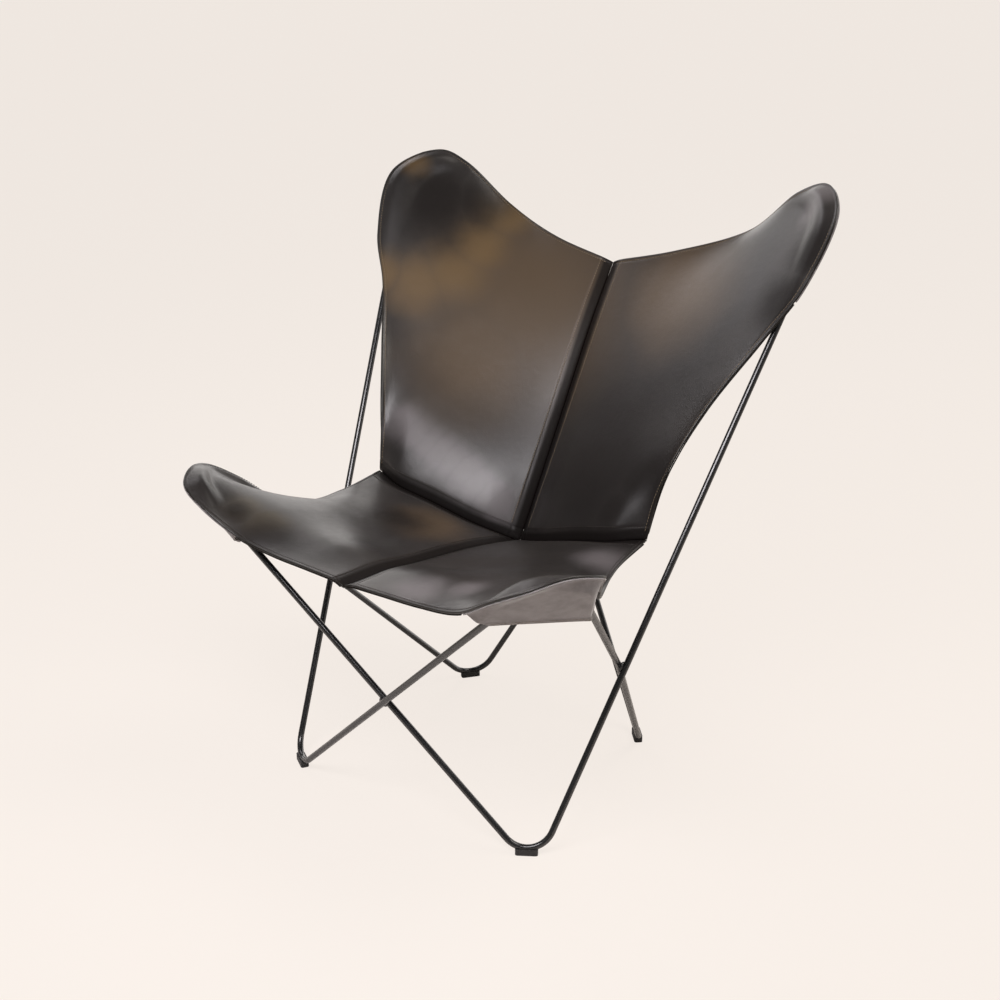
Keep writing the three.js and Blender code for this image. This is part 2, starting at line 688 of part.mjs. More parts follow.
// Lower a grid along its two seams, straight away from the sitter.
function valleyAt(distance) {
  return seam_valley_depth * Math.max(1 - distance / seam_valley_half_width, 0) ** 2;
}
const intoBack = unit(junction, backTop);
const intoSeat = unit(junction, seatFront);
const valleyDown = intoBack.clone().add(intoSeat).normalize().negate();
function valleyed(grid, into) {
  const down = V(0, into.z, -into.y);
  if (down.dot(valleyDown) < 0) down.negate();
  const first = grid[0];
  const column = grid.map((row) => row[0]);
  const total = runsOf(first);
  return grid.map((row) => row.map((p, i) => {
    const share = total[i] / total[total.length - 1];
    const fade = 1 - THREE.MathUtils.smoothstep(share, cross_valley_end_share, 1);
    const across = valleyAt(distanceTo(first, p)) * fade;
    const middle = valleyAt(distanceTo(column, p));
    const most = Math.max(across, middle);
    if (most === 0) return p;
    const way = valleyDown.clone().multiplyScalar(across).addScaledVector(down, middle).normalize();
    return along(p, way, most);
  }));
}

// A panel's mid grid runs from its centre seam (column 0) to its free side, and from the seam
// between seat and back (row 0) to its top or front edge. Its far corner is the tip of the sling.
function panelGrid(half, edge, corner, centreSeam, bend, into, relief) {
  const top = graded(sample(edge, 0, corner), grid_steps);
  const outer = graded(sample(edge, corner, edge.length - 1).reverse(), grid_steps);
  const grid = withBands(tautGrid(whole(centreSeam), outer, whole(half.crossSeam), top));
  const free = sample(edge, 0, edge.length - 1);
  return valleyed(crested(relief(grid, half, free), bend, free), into);
}
// Keep a point of a panel on its own side of a seam's plane, moved along the panel.
function clearOf(point, seam) {
  const short = seam_gap / 2 - point.clone().sub(seam.at).dot(seam.normal);
  if (short > 0) point.addScaledVector(seam.into, short / seam.into.dot(seam.normal));
}
function panel(name, grid, side, turn, crossPlanes) {
  const normals = surfaceNormals(grid, turn);
  const offset = (distance) => grid.map((row, j) => row.map((p, i) => {
    const q = along(p, normals[j][i], distance);
    if (j === 0) clearOf(q, crossPlanes[i]);
    if (i === 0) clearOf(q, { at: junction, normal: V(side, 0, 0), into: V(side, 0, 0) });
    return q;
  }));
  add(name, slab(offset(leather_thickness / 2), offset(-leather_thickness / 2), turn), leather());
  return normals;
}
// The planes that halve the fold along the seam between seat and back.
function foldPlanes(mine, other) {
  return mine[0].map((p, i) => {
    const into = unit(mine[0][i], mine[1][i]);
    const away = unit(other[0][i], other[1][i]);
    return { at: p.clone(), into, normal: into.clone().sub(away).normalize() };
  });
}

// The free edge of a panel in order: its top or front edge from the centre seam to the tip, then
// down its side. Each entry has the edge point, the matching point of the band and both normals.
function freeEdge(grid, normals) {
  const n = grid.length - 1;
  const entry = (j, i, y, x) => (
    { p: grid[j][i], q: grid[y][x], normal: normals[j][i], inner: normals[y][x] }
  );
  const list = grid[n].slice(0, n).map((p, i) => entry(n, i, n - 1, i));
  list.push(entry(n, n, n - 1, n - 1));
  for (let j = n - 1; j >= 0; j -= 1) list.push(entry(j, n, j, n - 1));
  return list;
}
function between(a, b, share) {
  const mixed = {};
  for (const key of Object.keys(a)) mixed[key] = lerp(a[key], b[key], share);
  mixed.normal.normalize();
  return mixed;
}
const wingOpening = { reach: wing_opening_reach, slant: wing_opening_slant, hang: 0, inset: pocket_end };
const tipOpening = { reach: tip_opening_reach, slant: 0, hang: tip_opening_hang, inset: pocket_low_end };
// Split the free edge where the pocket ends: before it, round the tip, and after it.
function splitEdge(list, bend, opening) {
  const across = along(bend.inward, bend.side, -opening.slant);
  const beyond = (entry) => entry.p.clone().sub(bend.centre).dot(across) - opening.reach;
  const parts = [[], [], []];
  let k = 0;
  list.forEach((entry, i) => {
    const here = beyond(entry);
    const before = i > 0 ? beyond(list[i - 1]) : here;
    if (before > 0 !== here > 0 && k < 2) {
      const end = between(list[i - 1], entry, before / (before - here));
      parts[k].push(end);
      k += 1;
      parts[k].push(end);
    }
    parts[k].push(entry);
  });
  return parts;
}
// Part of a list of sections, stopped short of its ends.
function shortened(list, fromClear, toClear) {
  const run = runsOf(list.map((section) => section.p));
  const total = run[run.length - 1];
  const cut = (want) => {
    let k = 1;
    while (k < run.length - 1 && run[k] < want) k += 1;
    return between(list[k - 1], list[k], (want - run[k - 1]) / (run[k] - run[k - 1]));
  };
  const kept = list.filter((section, i) => run[i] > fromClear && run[i] < total - toClear);
  return [cut(fromClear), ...kept, cut(total - toClear)];
}
const strip_depth = leather_thickness / 2 + layer_gap;
// A strip sewn behind a free edge.
function edgeStrip(name, list, fromClear, toClear, turn) {
  const sections = shortened(list, fromClear, toClear);
  const face = (below) => [
    sections.map((e) => along(e.q, e.inner, -below)),
    sections.map((e) => along(e.p, e.normal, -below)),
  ];
  add(name, slab(face(strip_depth), face(strip_depth + strip_thickness), turn), leather());
}
// A strip sewn behind a seam, over both panels. Each section has the seam point, the band points
// of the panels a and b, and the normals at all of them.
function seamStrip(name, list, toClear, turn) {
  const face = (below) => shortened(list, seam_strip_clear, toClear).map((e) => {
    const middle = e.normalA.clone().add(e.normalB).normalize();
    const mitre = 1 / middle.dot(e.normalA);
    return [along(e.a, e.innerA, -below), along(e.p, middle, -below * mitre), along(e.b, e.innerB, -below)];
  });
  add(name, slab(face(strip_depth), face(strip_depth + strip_thickness), turn), leather());
}
// A pocket: its rim lies behind the edge of the panel, and it turns round the rod to a straight
// opening behind it.
function pocket(name, rim, bend, opening, turn) {
  const normal = planeNormal(bend);
  const depth = leather_thickness / 2 + layer_gap + lining_thickness / 2;
  const flat = (p) => {
    const d = p.clone().sub(bend.centre);
    return V(d.dot(bend.inward), d.dot(bend.side), d.dot(normal));
  };
  const world = (q) => {
    const p = along(bend.centre, bend.inward, q.x);
    return along(along(p, bend.side, q.y), normal, q.z);
  };
  const edge = rim.map((e) => flat(along(e.p, e.normal, -depth)));
  const last = edge.length - 1;
  const chord = V(edge[last].x - edge[0].x, edge[last].y - edge[0].y, 0).normalize();
  const openFrom = along(edge[0], chord, opening.inset);
  const openTo = along(edge[last], chord, -pocket_end).add(V(opening.hang, 0, 0));
  // Distance from the outline in the plane of the rods, and the height of the outline there.
  const nearest = (q) => {
    let best = { r: Infinity, z: 0 };
    for (let i = 1; i <= last; i += 1) {
      const a = edge[i - 1];
      const ab = V(edge[i].x - a.x, edge[i].y - a.y, 0);
      const share = V(q.x - a.x, q.y - a.y, 0).dot(ab) / ab.lengthSq();
      const foot = lerp(a, edge[i], THREE.MathUtils.clamp(share, 0, 1));
      const r = Math.hypot(q.x - foot.x, q.y - foot.y);
      if (r < best.r) best = { r, z: foot.z };
    }
    return best;
  };
  const depthAt = (r, z) => {
    const deep = [[0, z], [pocket_rim, z], [pocket_deep_flat, -pocket_behind_rod]];
    const usual = [[0, z], [pocket_rim, z], [pocket_turn, Math.min(z, -pocket_turn_depth)],
      [pocket_drop, -pocket_drop_depth], [pocket_flat, -pocket_behind_rod]];
    const marks = z < -pocket_behind_rod ? deep : usual;
    const k = marks.findIndex(([mark]) => r <= mark);
    if (k < 1) return k === 0 ? z : -pocket_behind_rod;
    const share = (r - marks[k - 1][0]) / (marks[k][0] - marks[k - 1][0]);
    return THREE.MathUtils.lerp(marks[k - 1][1], marks[k][1], share);
  };
  const mid = edge.map((e, i) => {
    const open = lerp(openFrom, openTo, i / last);
    const at = (k) => V(e.x + (open.x - e.x) * k, e.y + (open.y - e.y) * k, 0);
    // Shares of this line at which it is as far inside the outline as the marks ask for.
    const reached = Array.from({ length: ruled_samples }, (_, k) => nearest(at(k / ruled_samples)).r);
    const scale = Math.min(1, (Math.max(...reached) * ruled_most_share) / pocket_flat);
    const shares = [0];
    let k = 0;
    for (const mark of [pocket_rim, pocket_turn, pocket_drop, pocket_flat]) {
      while (k < 1 && nearest(at(k)).r < mark * scale) k += 1 / ruled_samples;
      shares.push(Math.min(k, 1));
    }
    const flatShare = shares[shares.length - 1];
    for (const share of pocket_flat_shares) shares.push(flatShare + (1 - flatShare) * share);
    return shares.map((share) => {
      const q = at(share);
      const { r, z } = nearest(q);
      q.z = share === 0 ? e.z : depthAt(r, z);
      return world(q);
    });
  });
  const normals = surfaceNormals(mid, turn);
  const offset = (distance) => mid.map((row, j) => row.map((p, i) => along(p, normals[j][i], distance)));
  add(name, slab(offset(lining_thickness / 2), offset(-lining_thickness / 2), turn), suede());
}

// Sections along the seam between two panels, whose grids have that seam as their first row.
function seamSections(gridA, normalsA, gridB, normalsB) {
  return gridA[0].map((p, i) => ({
    p,
    a: gridA[1][i],
    b: gridB[1][i],
    normal: normalsA[0][i],
    normalA: normalsA[0][i],
    normalB: normalsB[0][i],
    innerA: normalsA[1][i],
    innerB: normalsB[1][i],
  }));
}
const halves = [halfEdges(1), halfEdges(-1)].map((half) => {
  const side = half.side;
  const word = side > 0 ? 'right' : 'left';
  const back = panelGrid(half, half.backEdge, back_corner_at, backSeam, half.wing, intoBack, backRelief);
  const seat = panelGrid(half, half.seatEdge, seat_corner_at, seatSeam, half.tip, intoSeat, seatRelief);
  const backNormals = panel(`panel_back_${word}`, back, side, side, foldPlanes(back, seat));
  const seatNormals = panel(`panel_seat_${word}`, seat, side, -side, foldPlanes(seat, back));
  const backParts = splitEdge(freeEdge(back, backNormals), half.wing, wingOpening);
  const seatParts = splitEdge(freeEdge(seat, seatNormals), half.tip, tipOpening);
  pocket(`pocket_rear_${word}`, backParts[1], half.wing, wingOpening, side);
  pocket(`pocket_front_${word}`, seatParts[1], half.tip, tipOpening, -side);
  edgeStrip(`strip_top_${word}`, backParts[0], seam_strip_clear, seam_strip_clear, side);
  edgeStrip(`strip_back_side_${word}`, backParts[2].reverse(), corner_clear, seam_strip_clear, -side);
  edgeStrip(`strip_front_${word}`, seatParts[0], seam_strip_clear, seam_strip_clear, -side);
  edgeStrip(`strip_seat_side_${word}`, seatParts[2].reverse(), corner_clear, seam_strip_clear, side);
  const cross = seamSections(back, backNormals, seat, seatNormals).slice(1);
  seamStrip(`strip_cross_${word}`, cross, corner_clear, side);
  return { back, seat, backNormals, seatNormals };
});
function centreStrip(name, key, turn) {
  const [r, l] = halves.map((h) => [transposed(h[key]), transposed(h[`${key}Normals`])]);
  seamStrip(name, seamSections(l[0], l[1], r[0], r[1]).slice(1), corner_clear, turn);
}
centreStrip('strip_back_centre', 'back', 1);
centreStrip('strip_seat_centre', 'seat', -1);

// The origin is on the floor under the middle of the whole chair.
const whole_box = new THREE.Box3();
for (const mesh of group.children) {
  mesh.geometry.computeBoundingBox();
  whole_box.union(mesh.geometry.boundingBox);
}
const middle = whole_box.getCenter(V(0, 0, 0));
for (const mesh of group.children) mesh.geometry.translate(-middle.x, -middle.y, -whole_box.min.z);

export default group;
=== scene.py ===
# %% [markdown]
# # Butterfly sling chair
# Two bent steel rod loops carry a leather sling of four sewn panels. Each cell makes one kind of
# piece and prints what it made. Lengths are written in millimetres and times MM become metres.

# %% Load the frame
import math
import bpy
import numpy as np
from mathutils import Matrix


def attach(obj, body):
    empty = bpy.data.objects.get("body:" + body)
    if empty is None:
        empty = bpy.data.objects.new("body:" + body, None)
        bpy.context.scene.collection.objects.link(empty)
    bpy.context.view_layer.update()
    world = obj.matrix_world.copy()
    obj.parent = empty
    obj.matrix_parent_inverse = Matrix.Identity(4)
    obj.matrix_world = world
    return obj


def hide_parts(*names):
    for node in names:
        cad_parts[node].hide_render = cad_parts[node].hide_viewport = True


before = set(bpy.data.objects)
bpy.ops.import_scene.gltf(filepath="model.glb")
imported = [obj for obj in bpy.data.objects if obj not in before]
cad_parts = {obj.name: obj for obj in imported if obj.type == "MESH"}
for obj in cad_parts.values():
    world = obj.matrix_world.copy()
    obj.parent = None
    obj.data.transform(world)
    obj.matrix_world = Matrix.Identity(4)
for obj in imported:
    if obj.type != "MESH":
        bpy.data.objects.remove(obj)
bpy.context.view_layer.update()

MM = 0.001

# %% [markdown]
# ## Camera
# The camera stands where the photographer stood: about 1.25 m up, to the right of the chair and in
# front of it, looking down by 21 degrees. It could be aimed with a Track To constraint. Here its
# right and up directions were worked out from the rods, so they go straight into its matrix.

# %% Camera
def aim(location, right, up, lens):
    """A camera whose picture's right and up directions are the given ones."""
    x = np.array(right) / np.linalg.norm(right)
    z = np.cross(x, up)
    z = z / np.linalg.norm(z)
    y = np.cross(z, x)
    data = bpy.data.cameras.new("camera")
    data.lens, data.sensor_width, data.clip_end = lens, 36, 500
    item = bpy.data.objects.new("camera", data)
    item.matrix_world = Matrix([[x[i], y[i], z[i], location[i]] for i in range(3)] + [[0, 0, 0, 1]])
    bpy.context.scene.collection.objects.link(item)
    bpy.context.scene.camera = item
    return item


CAMERA_PLACE = (1.254197, -1.663792, 1.24660)
CAMERA_RIGHT = (0.80240546, 0.59670663, -0.00931027)
CAMERA_UP = (-0.20940549, 0.29613285, 0.93190916)
LENS_MM = 51.22
camera = aim(CAMERA_PLACE, CAMERA_RIGHT, CAMERA_UP, LENS_MM)
print("camera at", [round(v, 3) for v in camera.matrix_world.translation])

# %% [markdown]
# ## Round bends and straight legs
# Each rod loop is a closed line of five corners. It could be drawn as a Bezier curve, but a
# bending machine makes true arcs between straight legs. So each corner is rounded by an arc that
# touches both legs, and its centre lies on the line that halves the corner.

# %% Rod lines
ROD_RADIUS = 5 * MM
FOOT_BEND, WING_BEND, CROSSING_BEND, TIP_BEND = 41 * MM, 61 * MM, 120 * MM, 38.5 * MM
LOOP_CORNERS = {
    "right": dict(front=(240.01, -233.89, -21.11), wing=(427.01, 395.61, 1073),
                  rear=(-182.99, 170.11, -21.12), kink=(-277.59, -84.41, 261.35),
                  tip=(-367.49, -338.89, 548)),
    "left": dict(front=(-239.99, -244.49, -21.11), wing=(-426.99, 385.01, 1073),
                 rear=(183.01, 159.51, -23.12), kink=(277.6, -73.81, 261.35),
                 tip=(367.51, -349.49, 548)),
}
OTHER = {"right": "left", "left": "right"}


def unit(v):
    """Each vector divided by its own length."""
    return v / np.linalg.norm(v, axis=-1, keepdims=True)


def make_bend(corner, before, after, radius):
    """An arc that touches both legs: its centre is radius / sin(half the corner's angle) away."""
    u, w = unit(before - corner), unit(after - corner)
    half = math.acos(u @ w) / 2
    inward = unit(u + w)
    side = unit(u - inward * (u @ inward))
    centre = corner + inward * radius / math.sin(half)
    return dict(corner=corner, u=u, w=w, inward=inward, side=side, centre=centre, radius=radius,
                sweep=math.pi / 2 - half)


def arc_points(bend, steps):
    """Points of the arc from its first leg to its second: centre + radius (side sin a - inward cos a)."""
    a = np.linspace(bend["sweep"], -bend["sweep"], steps + 1)[:, None]
    return bend["centre"] + bend["radius"] * (bend["side"] * np.sin(a) - bend["inward"] * np.cos(a))


def loop_bends(corners):
    """The five bends of one loop, by the name of their corner."""
    c = {name: np.array(p) * MM for name, p in corners.items()}
    return dict(
        front=make_bend(c["front"], c["tip"], c["wing"], FOOT_BEND),
        wing=make_bend(c["wing"], c["front"], c["rear"], WING_BEND),
        rear=make_bend(c["rear"], c["wing"], c["kink"], FOOT_BEND),
        kink=make_bend(c["kink"], c["rear"], c["tip"], CROSSING_BEND),
        tip=make_bend(c["tip"], c["kink"], c["front"], TIP_BEND),
    )


bends = {side: loop_bends(corners) for side, corners in LOOP_CORNERS.items()}
print("bends of one loop:", list(bends["right"]))

# %% [markdown]
# ## Materials
# One small function adds a node and sets its inputs. Colours are written as on a colour chart, and
# one function turns them into the light values that the renderer wants.

# %% Material helpers
def colour(hexa):
    """A colour chart value such as #2b2825 as the linear light that the renderer wants."""
    c = np.array([int(hexa[i : i + 2], 16) for i in (1, 3, 5)]) / 255
    return (*np.where(c <= 0.04045, c / 12.92, ((c + 0.055) / 1.055) ** 2.4).tolist(), 1.0)


def add(tree, kind, settings=None, **inputs):
    """A new node with its settings and inputs. An input that is another node's output is linked."""
    node = tree.nodes.new(kind)
    for key, value in (settings or {}).items():
        setattr(node, key, value)
    for key, value in inputs.items():
        name = key.replace("_", " ")
        socket = node.inputs[int(key[1:]) if key[0] == "i" and key[1:].isdigit() else name]
        if isinstance(value, bpy.types.NodeSocket):
            tree.links.new(value, socket)
        else:
            socket.default_value = value
    return node


def new_material(name):
    """An empty node material and its Object coordinates, which are in metres."""
    material = bpy.data.materials.new(name)
    material.use_nodes = True
    tree = material.node_tree
    tree.nodes.clear()
    place = add(tree, "ShaderNodeTexCoord").outputs["Object"]
    return material, tree, place


def noise(tree, place, per_metre, detail=3.0, roughness=0.5):
    """Soft cloudy noise with that many lumps per metre."""
    return add(tree, "ShaderNodeTexNoise", Vector=place, Scale=per_metre, Detail=detail,
               Roughness=roughness).outputs["Fac"]


def ramp(tree, value, *stops):
    """A colour ramp: each stop is (place, colour or grey)."""
    node = add(tree, "ShaderNodeValToRGB", Fac=value)
    points = node.color_ramp.elements
    while len(points) < len(stops):
        points.new(0.5)
    for point, (place, tint) in zip(points, stops):
        point.position = place
        point.color = colour(tint) if isinstance(tint, str) else (tint, tint, tint, 1)
    return node.outputs["Color"]


def sums(tree, operation, a, b, clamp=False):
    """One sum of two values."""
    return add(tree, "ShaderNodeMath", dict(operation=operation, use_clamp=clamp), i0=a, i1=b).outputs[0]


def blend(tree, share, a, b):
    """Two colours mixed by share."""
    return add(tree, "ShaderNodeMix", dict(data_type="RGBA"), i0=share, i6=a, i7=b).outputs[2]


def finish_material(tree, bumps, **surface):
    """The surface shader, with bumps of (height, distance in metres, strength) one on the other."""
    normal = None
    for height, distance, strength in bumps:
        below = {} if normal is None else dict(Normal=normal)
        bump = add(tree, "ShaderNodeBump", Height=height, Distance=distance, Strength=strength, **below)
        normal = bump.outputs[0]
    shader = add(tree, "ShaderNodeBsdfPrincipled", Normal=normal, **surface)
    add(tree, "ShaderNodeOutputMaterial", Surface=shader.outputs[0])


def attribute(tree, name):
    """A number that is stored at each point of the mesh."""
    return add(tree, "ShaderNodeAttribute", dict(attribute_name=name)).outputs["Fac"]


print("material helpers ready")

# %% [markdown]
# The rods are powder-coated: a black film baked on, half gloss, with a fine orange-peel ripple. The
# welds lie under the same film, and the glides are moulded plastic. An image could give such
# finishes, but noise on Object coordinates has the right size on every piece and no seam.

# %% Frame materials
def painted_steel():
    """Black powder-coated steel: near-black and half gloss, with a faint ripple of about 2 mm."""
    material, tree, place = new_material("black powder-coated steel")
    cloud = noise(tree, place, 18, 4)
    peel = noise(tree, place, 480, 2)
    base = ramp(tree, cloud, (0.35, "#0f0f10"), (0.7, "#171719"))
    rough = ramp(tree, noise(tree, place, 60, 4), (0.3, 0.2), (0.75, 0.36))
    finish_material(tree, [(peel, 0.00003, 0.1)], Base_Color=base, Roughness=rough,
                    Metallic=0.0, IOR=1.55, Coat_Weight=0.35, Coat_Roughness=0.12)
    return material


def weld_steel():
    """The weld beads under the same paint, with rougher and deeper ripples."""
    material, tree, place = new_material("painted weld bead")
    scales = noise(tree, place, 380, 3)
    base = ramp(tree, scales, (0.3, "#121213"), (0.75, "#232325"))
    finish_material(tree, [(scales, 0.0008, 0.5)], Base_Color=base, Roughness=0.36,
                    Coat_Weight=0.25, Coat_Roughness=0.2)
    return material


def glide_plastic():
    """Black moulded plastic with a fine spark-eroded grain and scuffs."""
    material, tree, place = new_material("black moulded plastic")
    grain = noise(tree, place, 2600, 2)
    scuff = noise(tree, place, 240, 6, 0.7)
    base = ramp(tree, scuff, (0.45, "#1a1a1b"), (0.72, "#2c2c2c"))
    rough = ramp(tree, scuff, (0.4, 0.48), (0.75, 0.68))
    finish_material(tree, [(grain, 0.0001, 0.3)], Base_Color=base, Roughness=rough)
    return material


steel, bead, plastic = painted_steel(), weld_steel(), glide_plastic()
print("frame materials:", steel.name, bead.name, plastic.name)

# %% [markdown]
# ## Rods
# Each loop is one round bar, 10 mm thick, bent in five places and joined end to end. A circle
# could be swept along the line with numpy, but a curve with a round bevel does the same and closes
# the ring. It becomes a mesh. Weld beads and glides stay the frame's own solids, with new finishes.

# %% Rods
def place_piece(item, material, slot, *replaced):
    """A finished piece in the scene: its material, the body it rides on, the nodes it stands for."""
    if item.name not in bpy.context.scene.collection.objects:
        bpy.context.scene.collection.objects.link(item)
    item.data.materials.clear()
    item.data.materials.append(material)
    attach(item, "root")
    if replaced:
        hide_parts(*replaced)
    return item


def round_rod(name, points, radius):
    """A mesh tube of 24 sides along a closed line of points."""
    curve = bpy.data.curves.new(name, "CURVE")
    curve.dimensions, curve.bevel_depth, curve.bevel_resolution = "3D", radius, 10
    spline = curve.splines.new("POLY")
    spline.points.add(len(points) - 1)
    spline.points.foreach_set("co", np.hstack([points, np.ones((len(points), 1))]).ravel())
    spline.use_cyclic_u = True
    helper = bpy.data.objects.new(name + "_line", curve)
    mesh = bpy.data.meshes.new_from_object(helper)
    bpy.data.objects.remove(helper)
    mesh.name = name
    mesh.shade_smooth()
    return bpy.data.objects.new(name, mesh)


ARC_STEPS = dict(front=32, wing=32, rear=32, kink=10, tip=32)
for side in ("right", "left"):
    line = np.vstack([arc_points(bends[side][k], steps) for k, steps in ARC_STEPS.items()])
    rod = round_rod(f"round_rod_{side}_wing", line, ROD_RADIUS)
    place_piece(rod, steel, "frame_paint", f"rod_loop_{side}_wing")
    print(rod.name, len(rod.data.polygons), "faces")
for name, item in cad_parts.items():
    if name.startswith(("weld", "glide")):
        for s in item.material_slots:
            s.material = bead if name.startswith("weld") else plastic

# %% [markdown]
# ## Leather edges
# The sling's edges hang free between the four tips and lie round the rods there. They could be
# traced as free curves, but then they would miss the rods from other sides. So each edge has a few
# points, and the ones at a tip are placed from its rod. The two halves differ by one rod.

# %% Edge points
ORIGIN = np.array([-0.0069, 37.192, 0])  # the whole chair's middle, from the middle of its four feet
BACK_TOP, JUNCTION, SEAT_FRONT = (
    (np.array(p) - ORIGIN) * MM for p in ((0, 363, 759), (0, 97, 348), (0, -318, 425.5)))
SIDE_CORNER = (262, 60, 424)
WING_ROUND = [(-42.2, 13.3, 11.5), (-6.1, 21.2, -2.7), (56.4, 26.9, -2.6)]  # degrees, margin and lift
WING_BESIDE = [(346, 26.2, 1.4), (432.5, 2, 16.2)]  # run along the front leg, margin and lift
TIP_BESIDE = [(184.2, 45.4, 4.6), (116.4, 36.5, -8.5)]
TIP_ROUND = [(-39.3, 22.2, -13.9), (9.8, 15.4, -1.6), (61.3, 29.6, 8.5)]
TIP_SIDE = (137.3, 23.5, 24)
TOP_SHARES = [(0.37, 0, 0, 0.7), (0.74, 0, 1, 1)]
SIDE_SHARES = [(0.33, 0.9, 0.9, 0), (0.67, 1, 1, 0)]
FRONT_SHARES = [(0.34, 0, 0, 0.5), (0.68, 0, 0, 1)]
SEAT_SIDE_SHARES = [(0.25, 1, 0, 1), (0.63, 1, 0, 0.55)]
CROSS_SHARES = [(0.27, 0, 0.75, 0.5), (0.54, 0, 1, 1), (0.8, 0, 1, 0.9)]
BACK_SEAM_SHARES = [(0.45, 0, 0.5, 0), (0.8, 0, 1, 0)]
SEAT_SEAM_SHARES = [(0.25, 0, 0, 1), (0.6, 0, 0, 0.8)]
BACK_CORNER, SEAT_CORNER = 4.35, 6.2  # where the top or front edge ends and the side begins, in points
GRADING = 0.5


def plane_normal(bend):
    """The direction across the plane of a bend's two legs, towards the sitter."""
    n = unit(np.cross(bend["u"], bend["w"]))
    return n * np.sign(n @ (JUNCTION - bend["centre"]))


def round_bend(bend, degrees, margin, lift):
    """A place round a bend: degrees from its middle, outside the rod by margin, off the plane by lift."""
    a, r = math.radians(degrees), bend["radius"] + ROD_RADIUS + margin * MM
    out = bend["side"] * math.sin(a) - bend["inward"] * math.cos(a)
    return bend["centre"] + r * out + plane_normal(bend) * lift * MM


def beside_leg(bend, leg, run, margin, lift):
    """A place beside the leg u or w: run along it, outside the rod by margin, off the plane by lift."""
    along, other = bend[leg], bend["w" if leg == "u" else "u"]
    out = -unit(other - along * (other @ along))
    beside = bend["corner"] + along * run * MM + out * (ROD_RADIUS + margin * MM)
    return beside + plane_normal(bend) * lift * MM


def bowed(a, b, bow, shares):
    """Points from a to b. Each row has a share of the way, then shares of the bow in x, y and z."""
    return [a + (b - a) * row[0] + np.array(bow) * row[1:] * MM for row in np.array(shares)]


def half_edges(side):
    """The points of one half's two free edges and of the seam between its seat and its back."""
    out = 1 if side == "right" else -1
    wing, tip = bends[side]["wing"], bends[OTHER[side]]["tip"]
    corner = (np.array(SIDE_CORNER) * (out, 1, 1) - ORIGIN) * MM
    over = [round_bend(wing, *p) for p in WING_ROUND] + [beside_leg(wing, "u", *p) for p in WING_BESIDE]
    back = [BACK_TOP, *bowed(BACK_TOP, over[0], (0, 19.7, -31.9), TOP_SHARES), *over,
            *bowed(over[-1], corner, (-out * 19.7, -22.1, 0), SIDE_SHARES), corner]
    over = [beside_leg(tip, "w", *p) for p in TIP_BESIDE] + [round_bend(tip, *p) for p in TIP_ROUND]
    over.append(beside_leg(tip, "u", *TIP_SIDE))
    seat = [SEAT_FRONT, *bowed(SEAT_FRONT, over[0], (0, 0, -4.1), FRONT_SHARES), *over,
            *bowed(over[-1], corner, (-out * 23.4, 0, -50.1), SEAT_SIDE_SHARES), corner]
    cross = [JUNCTION, *bowed(JUNCTION, corner, (0, -26, 10), CROSS_SHARES), corner]
    return dict(back=back, seat=seat, cross=cross)


halves = {side: half_edges(side) for side in ("right", "left")}
print("points of a half:", {key: len(points) for key, points in halves["right"].items()})

# %% [markdown]
# A smooth line is wanted that passes through all the points of an edge. A NURBS curve would miss
# them, and a plain spline swings out between uneven ones. A centripetal Catmull-Rom curve does not.

# %% Edge lines
def smooth_line(points, start=0.0, stop=None, samples=160):
    """Points on a centripetal Catmull-Rom curve, with so many samples from one given point to the next.

    Its knots are spaced by the square root of the distance between the given points.
    """
    points = np.array(points)
    stop = len(points) - 1 if stop is None else stop
    p = np.vstack([2 * points[0] - points[1], points, 2 * points[-1] - points[-2]])
    t = np.linspace(start, stop, round(samples * (stop - start)) + 1)
    k = np.minimum(t.astype(int), len(points) - 2)
    a, b, c, d = (p[k + i] for i in range(4))
    h0, h1, h2 = (np.linalg.norm(s - r, axis=1, keepdims=True) ** 0.5 for r, s in ((a, b), (b, c), (c, d)))
    m1 = h1 * ((b - a) / h0 - (c - a) / (h0 + h1) + (c - b) / h1)
    m2 = h1 * ((c - b) / h1 - (d - b) / (h1 + h2) + (d - c) / h2)
    w = (t - k)[:, None]
    return b + w * m1 + w**2 * (3 * c - 3 * b - 2 * m1 - m2) + w**3 * (2 * b - 2 * c + m1 + m2)


def runs(line):
    """How far along a line each of its points lies."""
    return np.concatenate([[0], np.cumsum(np.linalg.norm(np.diff(line, axis=0), axis=1))])


def at_run(line, want):
    """Points at the wanted distances along a line, with all the values that each point holds."""
    run = runs(line[:, :3])
    return np.stack([np.interp(want, run, line[:, i]) for i in range(line.shape[1])], axis=-1)


def graded(line, shares):
    """Points at shares of a line, closer together towards its end: distance = length s (1 + g (1 - s))."""
    return at_run(line, runs(line)[-1] * shares * (1 + GRADING * (1 - shares)))


seams = {}
for part, end, bow, shares in (("back", BACK_TOP, (0, -6, 0), BACK_SEAM_SHARES),
                               ("seat", SEAT_FRONT, (0, 0, 10), SEAT_SEAM_SHARES)):
    seams[part] = smooth_line([JUNCTION, *bowed(JUNCTION, end, bow, shares), end])
print("seams:", {part: round(float(runs(line)[-1]), 3) for part, line in seams.items()}, "m")

# %% [markdown]
# ## A taut surface between four edges
# Leather that is pulled between its edges takes the shape of a stretched membrane: each point is
# the average of its neighbours. A cloth simulation would find much the same shape, slowly. Here it
# is a plain blend of the four edges plus a correction that is zero on all edges, a sum of sine waves.

# %% Taut surface
COARSE = 15


